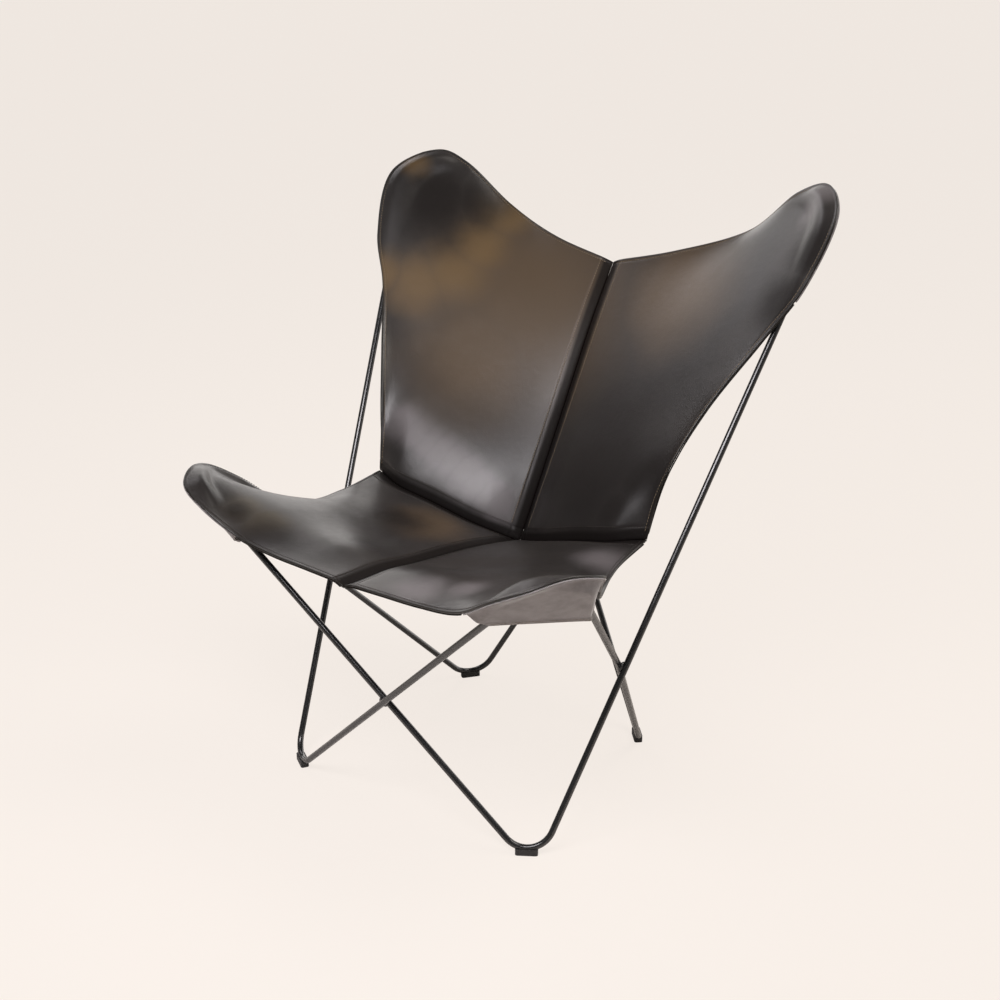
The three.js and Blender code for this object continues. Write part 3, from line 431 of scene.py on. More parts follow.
def edge_blend(inner, outer, bottom, top, s, t):
    """Four edges blended: straight between the sides, plus between the ends, less between the corners."""
    s, t = s[None, :, None], t[:, None, None]
    sides = (1 - s) * inner[:, None] + s * outer[:, None]
    ends = (1 - t) * bottom[None] + t * top[None]
    corners = (1 - t) * ((1 - s) * bottom[0] + s * bottom[-1]) + t * ((1 - s) * top[0] + s * top[-1])
    return sides + ends - corners


def taut_surface(inner, outer, bottom, top, count):
    """count x count points of the membrane. Row 0 lies on bottom and column 0 on inner."""
    def edges(shares):
        return [graded(line, shares) for line in (inner, outer, bottom, top)] + [shares, shares]
    plain = edge_blend(*edges(np.linspace(0, 1, COARSE + 1)))
    rest = 4 * plain[1:-1, 1:-1] - plain[:-2, 1:-1] - plain[2:, 1:-1] - plain[1:-1, :-2] - plain[1:-1, 2:]
    k = np.arange(1, COARSE)
    wave = lambda x: math.sqrt(2 / COARSE) * np.sin(math.pi * np.outer(x, k))
    w = wave(k / COARSE)
    size = -4 * np.sin(math.pi * k / 2 / COARSE) ** 2
    parts = np.einsum("aj,jic,ib->abc", w, rest, w) / (size[:, None, None] + size[None, :, None])
    fine = np.linspace(0, 1, count)
    f = wave(fine)
    return edge_blend(*edges(fine)) + np.einsum("ja,abc,ib->jic", f, parts, f)


def respaced(grid, first, last, count):
    """Each column's points moved along it: at set distances from both of its ends, evenly between."""
    columns = []
    for line in grid.transpose(1, 0, 2):
        total = runs(line)[-1]
        even = np.linspace(first[-1], total - last[-1], count + 2)[1:-1]
        columns.append(at_run(line, np.concatenate([first, even, total - last[::-1]])))
    return np.stack(columns, axis=1)


def normals_of(grid, towards):
    """Unit normals of a grid of points, on the side of the point towards."""
    n = np.cross(np.gradient(grid, axis=0), np.gradient(grid, axis=1))
    n[-1, -1] = n[-2, -2]  # the edges of a panel run straight on through its far corner
    n = unit(n)
    return n if np.sum(n * (towards - grid)) > 0 else -n


LINE_PIECES = 160


def distance_to(points, line):
    """The distance from each point to a line, in metres: the nearest place on each short piece of it."""
    line = line[:: max(1, len(line) // LINE_PIECES)]
    a, d = line[:-1], np.diff(line, axis=0)
    flat = points.reshape(-1, 1, points.shape[-1]) - a
    share = np.clip(np.sum(flat * d, axis=2) / np.sum(d * d, axis=1), 0, 1)
    return np.linalg.norm(flat - share[..., None] * d, axis=2).min(axis=1).reshape(points.shape[:-1])


print("membrane of", COARSE**2, "cells")

# %% [markdown]
# ## Fullness and hollows
# Thick leather doesn't hang as one clean membrane. The seat rises to a crest behind its front edge
# and sinks behind it, each tip has a gutter, the back stands full above the seat, and all of it
# rolls over the rods and sinks along the seams. It could be sculpted by hand, but a few bell curves
# of the distance to an edge, a seam or a rod are smooth, small and easy to change.

# %% Fullness and hollows
INTO = dict(back=unit(BACK_TOP - JUNCTION), seat=unit(SEAT_FRONT - JUNCTION))
RELIEF_FADE, CENTRE_FADE = 34 * MM, 90 * MM  # how far from the free edge and the centre seam it grows
CREST_LINE = np.array([(0, -232), (300, -222), (338, -300)])  # in plan, from the middle of the feet
SEAT_CREST, SEAT_CREST_HALF, CREST_AT_TIP = 8 * MM, 42 * MM, 0.85
HOLLOW, HOLLOW_BEHIND, HOLLOW_HALF = 8 * MM, 80 * MM, 45 * MM
TIP_REACH, TIP_FADE = 130 * MM, 120 * MM  # a tip's own shape, from the middle of its bend
GUTTER, GUTTER_INSET, GUTTER_HALF = 10 * MM, 26 * MM, 15 * MM
GUTTER_RIM, GUTTER_NOSE = 18 * MM, 120 * MM  # how far from the rim and the nose it has grown
BACK_FULL, BACK_FULL_AT, BACK_EDGE_FADE = 8 * MM, 45 * MM, 56 * MM
BESIDE_SEAM, BESIDE_FADE = 10 * MM, 60 * MM
CREST, CREST_RADIUS, CREST_BLEND, CREST_WIDTH = 10.6 * MM, 60 * MM, 4 * MM, 20 * MM
VALLEY, VALLEY_WIDTH, VALLEY_END, VALLEY_POWER = 6 * MM, 21 * MM, 0.75, 1.4
VALLEY_DOWN = -unit(INTO["back"] + INTO["seat"])


def smooth_step(x):
    """0 below 0, 1 above 1, and 3 x^2 - 2 x^3 between."""
    x = np.clip(x, 0, 1)
    return x * x * (3 - 2 * x)


def bell(distance, half):
    """1 at no distance and about a third at the half width: exp(-(distance / half)^2)."""
    return np.exp(-((distance / half) ** 2))


def behind_crest(points, side):
    """How far behind the seat's crest each point lies in plan, and less than nothing in front of it."""
    line = (CREST_LINE * (side, 1) - ORIGIN[:2]) * MM
    best = np.full(points.shape[:-1], np.inf)
    for a, b in zip(line[:-1], line[1:]):
        along, away = b - a, points[..., :2] - a
        share = np.clip(away @ along / (along @ along), 0, 1)[..., None]
        distance = np.linalg.norm(away - share * along, axis=-1)
        turn = along[0] * away[..., 1] - along[1] * away[..., 0]
        best = np.where(distance < np.abs(best), distance * np.sign(turn * side), best)
    return best


def seat_relief(grid, side, bend, edge, side_edge):
    """The seat with its crest, the hollow behind the crest, and a gutter along the side of its tip.

    Each is its height x a bell of the distance to its line x smooth steps that end it at the edges.
    """
    rim = distance_to(grid, edge)
    behind = behind_crest(grid, side)
    across = smooth_step(np.abs(grid[..., 0]) / CENTRE_FADE)
    near_tip = 1 - smooth_step((np.linalg.norm(grid - bend["centre"], axis=-1) - TIP_REACH) / TIP_FADE)
    crest = SEAT_CREST * (0.4 + 0.6 * across) * bell(behind, SEAT_CREST_HALF)
    crest = crest * (1 - CREST_AT_TIP * near_tip)
    hollow = HOLLOW * bell(behind - HOLLOW_BEHIND, HOLLOW_HALF) * (1 - near_tip) * across
    gutter = GUTTER * bell(distance_to(grid, side_edge) - GUTTER_INSET, GUTTER_HALF)
    gutter = gutter * smooth_step(rim / GUTTER_RIM) * near_tip
    gutter = gutter * smooth_step(np.linalg.norm(grid - side_edge[-1], axis=-1) / GUTTER_NOSE)
    up = (crest - hollow) * smooth_step(rim / RELIEF_FADE)
    return grid + up[..., None] * (0, 0, 1) - gutter[..., None] * plane_normal(bend)


def back_relief(grid, edge):
    """The back made 8 mm fuller above the seat: 8 x e^(1 - x), x the distance from the seam over 45 mm."""
    x = distance_to(grid, grid[0]) / BACK_FULL_AT
    beside = smooth_step((distance_to(grid, grid[:, 0]) - BESIDE_SEAM) / BESIDE_FADE)
    full = BACK_FULL * x * np.exp(1 - x) * smooth_step(distance_to(grid, edge) / BACK_EDGE_FADE) * beside
    return grid + full[..., None] * np.array([0, -INTO["back"][2], INTO["back"][1]])


def crested(grid, bend, edge):
    """A panel raised to a broad crest over its rod, but not at its free edge.

    The crest stands 10.6 mm less distance^2 / 120 mm above the plane of the rod.
    """
    n = plane_normal(bend)
    height = (grid - bend["corner"]) @ n
    long = np.linalg.norm(bend["corner"] - JUNCTION)
    ends = [bend["corner"] + bend[leg] * long for leg in ("u", "w")]
    rod = np.vstack([ends[0], arc_points(bend, 24), ends[1]])
    away = distance_to(grid - height[..., None] * n, rod)
    short = CREST - away**2 / (2 * CREST_RADIUS) - height
    near = np.clip(short, -CREST_BLEND, CREST_BLEND) + CREST_BLEND
    rise = np.maximum(short - CREST_BLEND, 0) + near**2 / (4 * CREST_BLEND)
    return grid + n * (rise * smooth_step(distance_to(grid, edge) / CREST_WIDTH))[..., None]


def valleyed(grid, part):
    """A panel lowered along its two seams, 6 mm at the seam and nothing 21 mm from it."""
    def depth(line):
        return VALLEY * np.clip(1 - distance_to(grid, line) / VALLEY_WIDTH, 0, 1) ** VALLEY_POWER
    down = np.array([0, INTO[part][2], -INTO[part][1]])
    down = down * np.sign(down @ VALLEY_DOWN)
    share = runs(grid[0]) / runs(grid[0])[-1]
    across = depth(grid[0]) * (1 - smooth_step((share - VALLEY_END) / (1 - VALLEY_END)))
    middle = depth(grid[:, 0])
    way = VALLEY_DOWN * across[..., None] + down * middle[..., None]
    way = way / np.maximum(np.linalg.norm(way, axis=2, keepdims=True), 1e-9)
    return grid + way * np.maximum(across, middle)[..., None]


print("crest", SEAT_CREST / MM, "mm, hollow", HOLLOW / MM, "mm, gutter", GUTTER / MM, "mm")

# %% [markdown]
# Each panel starts as a dense membrane. Its rows and columns are then set closer together beside
# the seams and edges, where the leather rolls and is stitched, and the fullness is added.

# %% Middle surfaces
SEAM_MARKS = np.array([0.3, 0.8, 1.5, 2.4, 3.6, 5.2, 7.5, 10.5, 13.5, 16, 17.8, 19, 20, 21, 22.2, 24.5,
                       28]) * MM
EDGE_MARKS = np.array([0, 2.5, 3.7, 4.9, 6, 7.1, 8.4, 10.5, 13.5, 17.5]) * MM
SITTER = np.array([0, -0.15, 0.75])
DENSE, LINES = 420, 84


def half_panel(side, part):
    """A panel's middle surface: column 0 on the centre seam, row 0 on the cross seam, free edges last."""
    edge, corner = halves[side][part], BACK_CORNER if part == "back" else SEAT_CORNER
    top = smooth_line(edge, 0, corner)
    outer = smooth_line(edge, corner, len(edge) - 1)[::-1]
    cross = smooth_line(halves[side]["cross"])
    dense = taut_surface(seams[part], outer, cross, top, DENSE)
    rows = respaced(dense, SEAM_MARKS, EDGE_MARKS, LINES)
    grid = respaced(rows.transpose(1, 0, 2), SEAM_MARKS, EDGE_MARKS, LINES).transpose(1, 0, 2)
    bend = bends[side]["wing"] if part == "back" else bends[OTHER[side]]["tip"]
    free = np.vstack([top, outer[::-1][1:]])
    sign = 1 if side == "right" else -1
    grid = back_relief(grid, free) if part == "back" else seat_relief(grid, sign, bend, free, outer)
    grid = valleyed(crested(grid, bend, free), part)
    return dict(side=side, part=part, bend=bend, grid=grid, normals=normals_of(grid, SITTER))


panels = {(part, side): half_panel(side, part) for part in ("back", "seat") for side in ("right", "left")}
print("panels:", {k: v["grid"].shape for k, v in panels.items()})

# %% [markdown]
# ## Leather with thickness
# A panel has a front, a back and a rounded rim. A Solidify modifier would give it a thickness, but
# the same everywhere and with square edges. Here both faces have heights of their own: the leather
# rolls down into each seam and is held down along each line of stitches.

# %% Shells
def border(array):
    """The values round the border of a grid, in order."""
    return np.concatenate([array[0, :-1], array[:-1, -1], array[-1, :0:-1], array[:0:-1, 0]])


def quads(numbers, closed=False):
    """The four point numbers of each quad between neighbouring rows and columns of a grid."""
    n = np.concatenate([numbers, numbers[:, :1]], axis=1) if closed else numbers
    return np.stack([n[:-1, :-1], n[:-1, 1:], n[1:, 1:], n[1:, :-1]], axis=-1).reshape(-1, 4)


def outward(grid, normals):
    """Unit vectors at the border of a grid that lie in the surface and point out of it."""
    p, n = border(grid), border(normals)
    t = np.roll(p, -1, axis=0) - np.roll(p, 1, axis=0)
    e = unit(np.cross(t, n))
    inner = border(np.pad(grid[1:-1, 1:-1], ((1, 1), (1, 1), (0, 0)), mode="edge"))
    return e if np.sum(e * (p - inner)) > 0 else -e


LEAST_ROOM, RIM_SHARE = 0.05 * MM, 0.7


def shell(grid, normals, front, back, rim_steps=6):
    """A closed skin, with front and back at their heights from the middle surface.

    The rim between them is half an ellipse. It is as deep as half the thickness there, but no deeper
    than 0.7 of the way to the next points of the grid.
    """
    rows, cols = grid.shape[:2]
    front, back = (np.broadcast_to(h, (rows, cols)) for h in (front, back))
    p, n, e = border(grid), border(normals), outward(grid, normals)
    high, low = border(front), border(back)
    inner = border(np.pad(grid[1:-1, 1:-1], ((1, 1), (1, 1), (0, 0)), mode="edge"))
    room = np.maximum(np.sum((p - inner) * e, axis=1), LEAST_ROOM)
    middle, half = (high + low) / 2, (high - low) / 2
    depth = np.minimum(half, RIM_SHARE * room)
    turn = np.linspace(math.pi / 2, -math.pi / 2, rim_steps + 1)[:, None, None]
    rings = p + e * (depth[:, None] * (np.cos(turn) - 1))
    rings = rings + n * (middle[:, None] + half[:, None] * np.sin(turn))
    faces_f = grid + normals * front[..., None]
    faces_b = grid + normals * back[..., None]
    numbers = np.arange(rows * cols).reshape(rows, cols)
    loop = border(numbers)
    faces_f[loop // cols, loop % cols] = rings[0]
    faces_b[loop // cols, loop % cols] = rings[-1]
    count = rows * cols
    ring = 2 * count + np.arange((rim_steps - 1) * len(loop)).reshape(rim_steps - 1, -1)
    wall = np.vstack([loop, ring, loop + count])
    faces = np.vstack([quads(numbers)[:, ::-1], quads(numbers + count), quads(wall, closed=True)])
    points = np.vstack([faces_f.reshape(-1, 3), faces_b.reshape(-1, 3), rings[1:-1].reshape(-1, 3)])
    source = np.concatenate([np.arange(count), np.arange(count), np.tile(loop, rim_steps - 1)])
    return points, faces, source


def mesh_piece(name, points, faces, **values):
    """A smooth mesh object from arrays, with its faces outward and any values stored at its points."""
    a, b, c, d = (points[faces[:, i]] for i in range(4))
    if np.sum(a * np.cross(b, c) + a * np.cross(c, d)) < 0:  # six times the volume inside
        faces = faces[:, ::-1]
    mesh = bpy.data.meshes.new(name)
    mesh.from_pydata(points.tolist(), [], faces.tolist())
    for key, numbers in values.items():
        store = mesh.attributes.new(key, "FLOAT", "POINT").data
        store.foreach_set("value", np.asarray(numbers, dtype=np.float32))
    mesh.shade_smooth()
    mesh.update()
    return bpy.data.objects.new(name, mesh)


print("shell helpers ready")

# %% [markdown]
# The sling is thick leather, waxed brown-black. It is half gloss, with a fine grain, shallow creases
# and clouded colour, and its edges are painted darker. Painted shade darkens it along its seams, and
# round patches carry painted reflections of a warm room in brown and gold, painted highlights in pale
# grey and painted shade in near-black. An image would need a flat map for each panel. Noise and round
# patches on Object coordinates run on across the seams.

# %% Painted reflections, highlights and shade
PAINTED_LIGHT_PATCHES = [  # (x, y, z, radius) of each patch in mm, the patches' colour and their greatest share
    # Painted reflection: brown patches where the glossy leather would mirror a warm room.
    ([(-114, 253, 691, 190), (-164, 174, 616, 130), (153, 285, 736, 110), (-83, -66, 395, 62)],
     "#4f402f", 0.9),
    # Painted reflection: dark gold on the left tip.
    ([(-253, -301, 468, 36), (-199, -296, 452, 34)], "#3d3423", 0.8),
    # Painted reflection: the golden band across the left wing.
    ([(-224, 332, 810, 50), (-234, 275, 767, 52), (-256, 224, 726, 58), (-299, 184, 706, 55),
      (-358, 167, 722, 42), (-379, 280, 891, 26)], "#5f4b2f", 0.85),
    # Painted highlights: a pale band low on the left back, a streak on the right wing, lobes on the seat.
    ([(378, 318, 912, 34), (362, 308, 882, 28), (-230, 57, 505, 34), (-205, 54, 491, 36),
      (-180, 52, 478, 37), (-155, 53, 466, 38), (-130, 54, 454, 38), (-105, 56, 440, 37),
      (-82, 58, 428, 35), (-60, 60, 416, 33), (-40, 64, 400, 30), (111, -323, 432, 42),
      (179, -299, 446, 30), (239, -71, 420, 40)], "#7d7779", 0.42),
    # Painted shade: near-black patches on the wings, the left tip, the seat and the right back.
    ([(-329, 279, 835, 85), (-271, 320, 834, 62), (-289, -321, 488, 46), (-250, -318, 467, 30),
      (-176, -322, 443, 46), (-119, -97, 406, 54), (201, 26, 457, 60), (150, 90, 490, 150),
      (230, 70, 500, 90), (397, 236, 830, 50), (370, 205, 765, 50)], "#1c1918", 0.85),
]
PATCH_SHIFT, PATCH_LUMPS = 0.04, 14.0  # how far noise shifts a patch's rim, and its lumps per metre
PATCH_CORE, PATCH_END = 0.2, 1.5
FOLD_WAY = (0.543, 0.839)  # up the back, in y and z
FOLD_RISE, FOLD_FROM, FOLD_HALF = 0.167, 0.4246, 0.09  # its rise a metre to the side, then metres


def patches(tree, place, spots):
    """1 in the cores of soft round patches and 0 outside them, with a ragged rim.

    A core is 0.2 of its patch's radius, and the patch ends at 1.5 of it.
    """
    ragged = add(tree, "ShaderNodeTexNoise", Vector=place, Scale=PATCH_LUMPS, Detail=4.0).outputs["Color"]
    shifted = add(tree, "ShaderNodeVectorMath", dict(operation="MULTIPLY_ADD"), i0=ragged,
                  i1=(PATCH_SHIFT,) * 3, i2=place).outputs[0]
    result = None
    for *spot, radius in spots:
        centre = [v * MM + PATCH_SHIFT / 2 for v in spot]
        away = add(tree, "ShaderNodeVectorMath", dict(operation="DISTANCE"), i0=shifted, i1=centre)
        soft = add(tree, "ShaderNodeMapRange", dict(interpolation_type="SMOOTHSTEP"),
                   Value=away.outputs["Value"], From_Min=radius * PATCH_CORE * MM,
                   From_Max=radius * PATCH_END * MM, To_Min=1.0, To_Max=0.0).outputs[0]
        result = soft if result is None else sums(tree, "MAXIMUM", result, soft)
    return result


def soft_fold(tree, place):
    """The soft fold low on the back: e^(-((e - 100) / 90)^2), e in mm up the back from the cross seam.

    The fold rises to each side by 0.167 mm a mm.
    """
    x, y, z = (add(tree, "ShaderNodeSeparateXYZ", Vector=place).outputs[k] for k in range(3))
    e = sums(tree, "ADD", sums(tree, "MULTIPLY", y, FOLD_WAY[0]), sums(tree, "MULTIPLY", z, FOLD_WAY[1]))
    rise = sums(tree, "MULTIPLY", sums(tree, "ABSOLUTE", x, 0.0), FOLD_RISE)
    e = sums(tree, "SUBTRACT", sums(tree, "SUBTRACT", e, rise), FOLD_FROM)
    e = sums(tree, "DIVIDE", e, FOLD_HALF)
    return sums(tree, "EXPONENT", sums(tree, "MULTIPLY", sums(tree, "MULTIPLY", e, e), -1.0), 0.0)


# The number of patches of painted reflection, highlight and shade.
print("patches of painted light:", sum(len(spots) for spots, tint, most in PAINTED_LIGHT_PATCHES))

# %% [markdown]
# The shader of the leather mixes these patches into its clouded colour. The pockets show the flesh
# side, which is suede: grey-brown and matt, with a short nap. The thread is waxed polyester.

# %% Leather materials
HIDE_DARK, HIDE_PALE, HIDE_GLOSS = "#211e1d", "#2d2927", 0.31
# The seams' colour is painted shade for the valleys that the leather sinks into; EDGE_PAINT is the edges'
# own paint.
SEAM_PAINTED_SHADE, EDGE_PAINT, FOLD_DEPTH = "#161312", "#1b1815", 12 * MM


def leather_material(name, fold=0.0):
    """Waxed leather. Its grain cells are about 1.3 mm, its creases 9 mm and its clouds 150 mm."""
    material, tree, place = new_material(name)
    cloud = noise(tree, place, 7, 5, 0.55)
    pores = add(tree, "ShaderNodeTexVoronoi", dict(feature="DISTANCE_TO_EDGE"), Vector=place, Scale=780.0)
    grain = ramp(tree, pores.outputs["Distance"], (0.0, 0.0), (0.35, 1.0))
    crease = noise(tree, place, 110, 4, 0.6)
    base = blend(tree, ramp(tree, cloud, (0.38, 0.0), (0.68, 1.0)), colour(HIDE_DARK), colour(HIDE_PALE))
    # The painted reflections, highlights and shade are laid into the base colour, one group over the other.
    for spots, tint, most in PAINTED_LIGHT_PATCHES:
        share = sums(tree, "MULTIPLY", patches(tree, place, spots), most)
        base = blend(tree, share, base, colour(tint))
    # Painted shade: the leather is darkened within about 21 mm of each seam, where it sinks into the seam's
    # valley.
    seam = sums(tree, "MULTIPLY", attribute(tree, "seam_mm"), 0.025)  # 1 at 40 mm from a seam
    seam = ramp(tree, seam, (0.0, 0.95), (0.32, 0.9), (0.52, 0.0))
    # Where shade is painted, on the near-black patches and beside the seams, the leather also shines less.
    painted_shade_share = sums(tree, "ADD", share, seam, clamp=True)  # the last, dark patches and the seams shine less
    dull = sums(tree, "SUBTRACT", 0.5, sums(tree, "MULTIPLY", painted_shade_share, 0.45))
    base = blend(tree, seam, base, colour(SEAM_PAINTED_SHADE))
    paint = ramp(tree, sums(tree, "MULTIPLY", attribute(tree, "edge_mm"), 0.1), (0.0, 1.0), (0.45, 0.0))
    base = blend(tree, paint, base, colour(EDGE_PAINT))
    worn = sums(tree, "ADD", sums(tree, "MULTIPLY", cloud, 0.6), sums(tree, "MULTIPLY", crease, 0.4))
    rough = ramp(tree, worn, (0.3, HIDE_GLOSS), (0.75, HIDE_GLOSS + 0.14))
    bumps = [(crease, 0.0012, 0.16), (grain, 0.00018, 0.3)]
    if fold:
        bumps.insert(0, (soft_fold(tree, place), fold, 1.0))
    finish_material(tree, bumps, Base_Color=base, Roughness=rough, IOR=1.5, Specular_IOR_Level=dull,
                    Coat_Weight=0.1, Coat_Roughness=0.3)
    return material


def suede_material():
    """The rough flesh side of the leather: grey-brown, matt, with short nap brushed into cloudy patches."""
    material, tree, place = new_material("suede flesh side")
    nap = noise(tree, place, 1500, 4, 0.7)
    brushed = noise(tree, place, 45, 4, 0.6)
    shade = sums(tree, "ADD", sums(tree, "MULTIPLY", nap, 0.45), sums(tree, "MULTIPLY", brushed, 0.55))
    base = ramp(tree, shade, (0.3, "#5f5b5b"), (0.5, "#787373"), (0.72, "#8e8a8b"))
    finish_material(tree, [(nap, 0.0004, 0.6)], Base_Color=base, Roughness=0.92,
                    Sheen_Weight=0.5, Sheen_Roughness=0.4)
    return material


def thread_material(name, dark, pale):
    """Waxed polyester thread with the slant of its twist."""
    material, tree, place = new_material(name)
    twist = noise(tree, place, 2200, 2)
    base = ramp(tree, twist, (0.35, dark), (0.7, pale))
    finish_material(tree, [(twist, 0.0002, 0.5)], Base_Color=base, Roughness=0.55)
    return material


hide = leather_material("waxed brown-black leather")
back_hide = leather_material("waxed leather of the back", FOLD_DEPTH)
suede = suede_material()
thread = thread_material("tan waxed thread", "#5a4d3c", "#86755c")
dark_thread = thread_material("dark waxed thread", "#1f1b18", "#38302a")
print("leather materials:", hide.name, suede.name, thread.name, dark_thread.name)

# %% [markdown]
# Each panel is one sheet of leather, cut flat, sewn and hung. A cloth simulation could hang it, but
# where it hangs is known, so it is made there. Its flat size is measured on its own surface,
# because sewn leather on a frame stretches very little.

# %% Panels
HALF, LOWEST_FRONT = 1.75 * MM, -0.6 * MM
SEAM_STITCH, EDGE_STITCH = 20 * MM, 6 * MM  # how far the stitch lines lie from a seam and an edge
ROLL_WIDTH, ROLL_DROP = 5 * MM, 2.2 * MM
SEAM_GROOVE, EDGE_GROOVE = (0.5 * MM, 1.8 * MM), (0.45 * MM, 1.5 * MM)  # depth and half width


def rolled(d, width, drop):
    """How far the leather has rolled down at distance d from a seam: a quarter of an ellipse."""
    return -drop * (1 - np.sqrt(1 - np.clip(1 - d / width, 0, 1) ** 2))


def held(d, line, depth, width):
    """The groove along a line of stitches: a bell curve of that depth and half width."""
    return -depth * np.exp(-(((d - line) / width) ** 2))


def front_height(panel):
    """The height of the front above the middle surface, from the distances to both seams and the edge."""
    grid = panel["grid"]
    height = np.full(grid.shape[:2], HALF)
    for line in (grid[0], grid[:, 0]):
        d = distance_to(grid, line)
        height = height + rolled(d, ROLL_WIDTH, ROLL_DROP) + held(d, SEAM_STITCH, *SEAM_GROOVE)
    height = height + held(panel["edge_distance"], EDGE_STITCH, *EDGE_GROOVE)
    return np.maximum(height, LOWEST_FRONT)


def sheet_area(grid):
    """The area of a grid of points: half of |diagonal x diagonal| for each quad."""
    a, b = grid[1:, 1:] - grid[:-1, :-1], grid[1:, :-1] - grid[:-1, 1:]
    return float(np.linalg.norm(np.cross(a, b), axis=2).sum() / 2)


def rough_cut(grid):
    """The rectangle that a sheet is cut from: its longest row by its longest column, of three each."""
    across = max(runs(grid[j])[-1] for j in (0, len(grid) // 2, -1))
    along = max(runs(grid[:, i])[-1] for i in (0, grid.shape[1] // 2, -1))
    return across, along


for (part, side), panel in panels.items():
    grid = panel["grid"]
    panel["edge_distance"] = distance_to(grid, np.vstack([grid[-1], grid[-2::-1, -1]]))
    points, faces, source = shell(grid, panel["normals"], front_height(panel), -HALF)
    seam = np.minimum(distance_to(grid, grid[0]), distance_to(grid, grid[:, 0]))
    edge_mm = panel["edge_distance"].ravel()[source] / MM
    piece = mesh_piece(f"leather_{part}_{side}", points, faces, edge_mm=edge_mm,
                       seam_mm=seam.ravel()[source] / MM)
    place_piece(piece, back_hide if part == "back" else hide, "leather", f"panel_{part}_{side}")
    panel["piece"], panel["area"], panel["flat"] = piece, sheet_area(grid), rough_cut(grid)
    print(piece.name, len(faces), "faces, flat", np.round(panel["flat"], 3), round(panel["area"], 4), "m2")

# %% [markdown]
# ## Pockets
# A pocket is a second piece of leather, rough side out, sewn behind the tip of a panel. A tip of
# the frame slips into it and carries the sling. A copy of the panel, moved back, would cut the rod. So
# the pocket is drawn from its seam: down round the outside of the rod, and then flat behind it as
# far as its straight opening, which has a hem.

# %% Pockets
LINING_HALF, LAYER_GAP = 1.25 * MM, 0.2 * MM
POCKET_BEHIND, POCKET_SEWN = 8.1 * MM, 3.5 * MM  # behind the rods' plane, and along the panel's back
POCKET_GRADING, DEEP_EASE, DEEP_OVER = 1.6, (9 * MM, 15 * MM), 6 * MM
HEM_WIDTH, HEM_RAMP, HEM_STEP = 11 * MM, 1.5 * MM, 0.7 * MM
OPENINGS = {  # in mm, but slant: where the opening lies, how its ends are set in, and how it eases
    "back": dict(reach=46, slant=0.335, inset=(20, 44), hang=(0, 0), ease=(9, 20)),
    "seat": dict(reach=50, slant=0.085, inset=(35, 14), hang=(18, 12), ease=(21, 18)),
}


def free_edge(panel):
    """A panel's free edge from its centre seam round the tip to the side corner.

    Its nine columns are places, normals and outward directions.
    """
    grid, normals = panel["grid"], panel["normals"]
    e = outward(grid, normals)
    full = np.zeros_like(grid)
    rows, cols = grid.shape[:2]
    numbers = border(np.arange(rows * cols).reshape(rows, cols))
    full[numbers // cols, numbers % cols] = e
    top = np.concatenate([grid[-1], normals[-1], full[-1]], axis=1)
    side = np.concatenate([grid[:, -1], normals[:, -1], full[:, -1]], axis=1)[::-1]
    return np.vstack([top, side[1:]])


def split_edge(edge, bend, opening):
    """Where the free edge passes the line of the pocket's opening, as distances along it."""
    across = bend["inward"] - bend["side"] * opening["slant"]
    beyond = (edge[:, :3] - bend["centre"]) @ across - opening["reach"] * MM
    run = runs(edge[:, :3])
    k = np.flatnonzero(np.diff(np.sign(beyond)) != 0)
    where = run[k] + (run[k + 1] - run[k]) * beyond[k] / (beyond[k] - beyond[k + 1])
    return where[0], where[-1], run[-1]


def pocket_grid(edge, start, stop, bend, opening, columns=150, rows=44):
    """The middle surface of a pocket.

    It is sewn to the back of the panel for 3.5 mm. From there straight lines run to its opening, seen
    along the normal of the rods' plane. Its depth eases to behind the rod as a smooth step.
    """
    rim = at_run(edge, np.linspace(start, stop, columns))
    normal = plane_normal(bend)
    frame3 = np.stack([bend["inward"], bend["side"], normal], axis=1)
    under = rim[:, :3] - rim[:, 3:6] * (HALF + LAYER_GAP + LINING_HALF)
    sewn = under - unit(rim[:, 6:9]) * np.linspace(0, POCKET_SEWN, 4)[:, None, None]
    flat = (sewn[-1] - bend["centre"]) @ frame3
    chord = unit(flat[-1, :2] - flat[0, :2])
    inset, hang, ease = (np.array(opening[key]) * MM for key in ("inset", "hang", "ease"))
    begin = flat[0, :2] + chord * inset[0] + [hang[0], 0]
    end = flat[-1, :2] - chord * inset[1] + [hang[1], 0]
    share = np.linspace(0, 1, columns)[:, None]
    mouth = begin + (end - begin) * share
    s = (np.linspace(0, 1, rows)[1:] ** POCKET_GRADING)[:, None, None]
    q = flat[None, :, :2] * (1 - s) + mouth[None] * s
    r = distance_to(q, flat[:, :2])
    z = np.broadcast_to(flat[:, 2], r.shape)
    deep = smooth_step((-POCKET_BEHIND - z) / DEEP_OVER)
    width = np.maximum(ease[0] + (ease[1] - ease[0]) * share[:, 0], DEEP_EASE[0] + DEEP_EASE[1] * deep)
    z = z + (-POCKET_BEHIND - z) * smooth_step(r / width)
    below = np.concatenate([q, z[..., None]], axis=2) @ frame3.T + bend["centre"]
    return np.concatenate([sewn, below]), normal


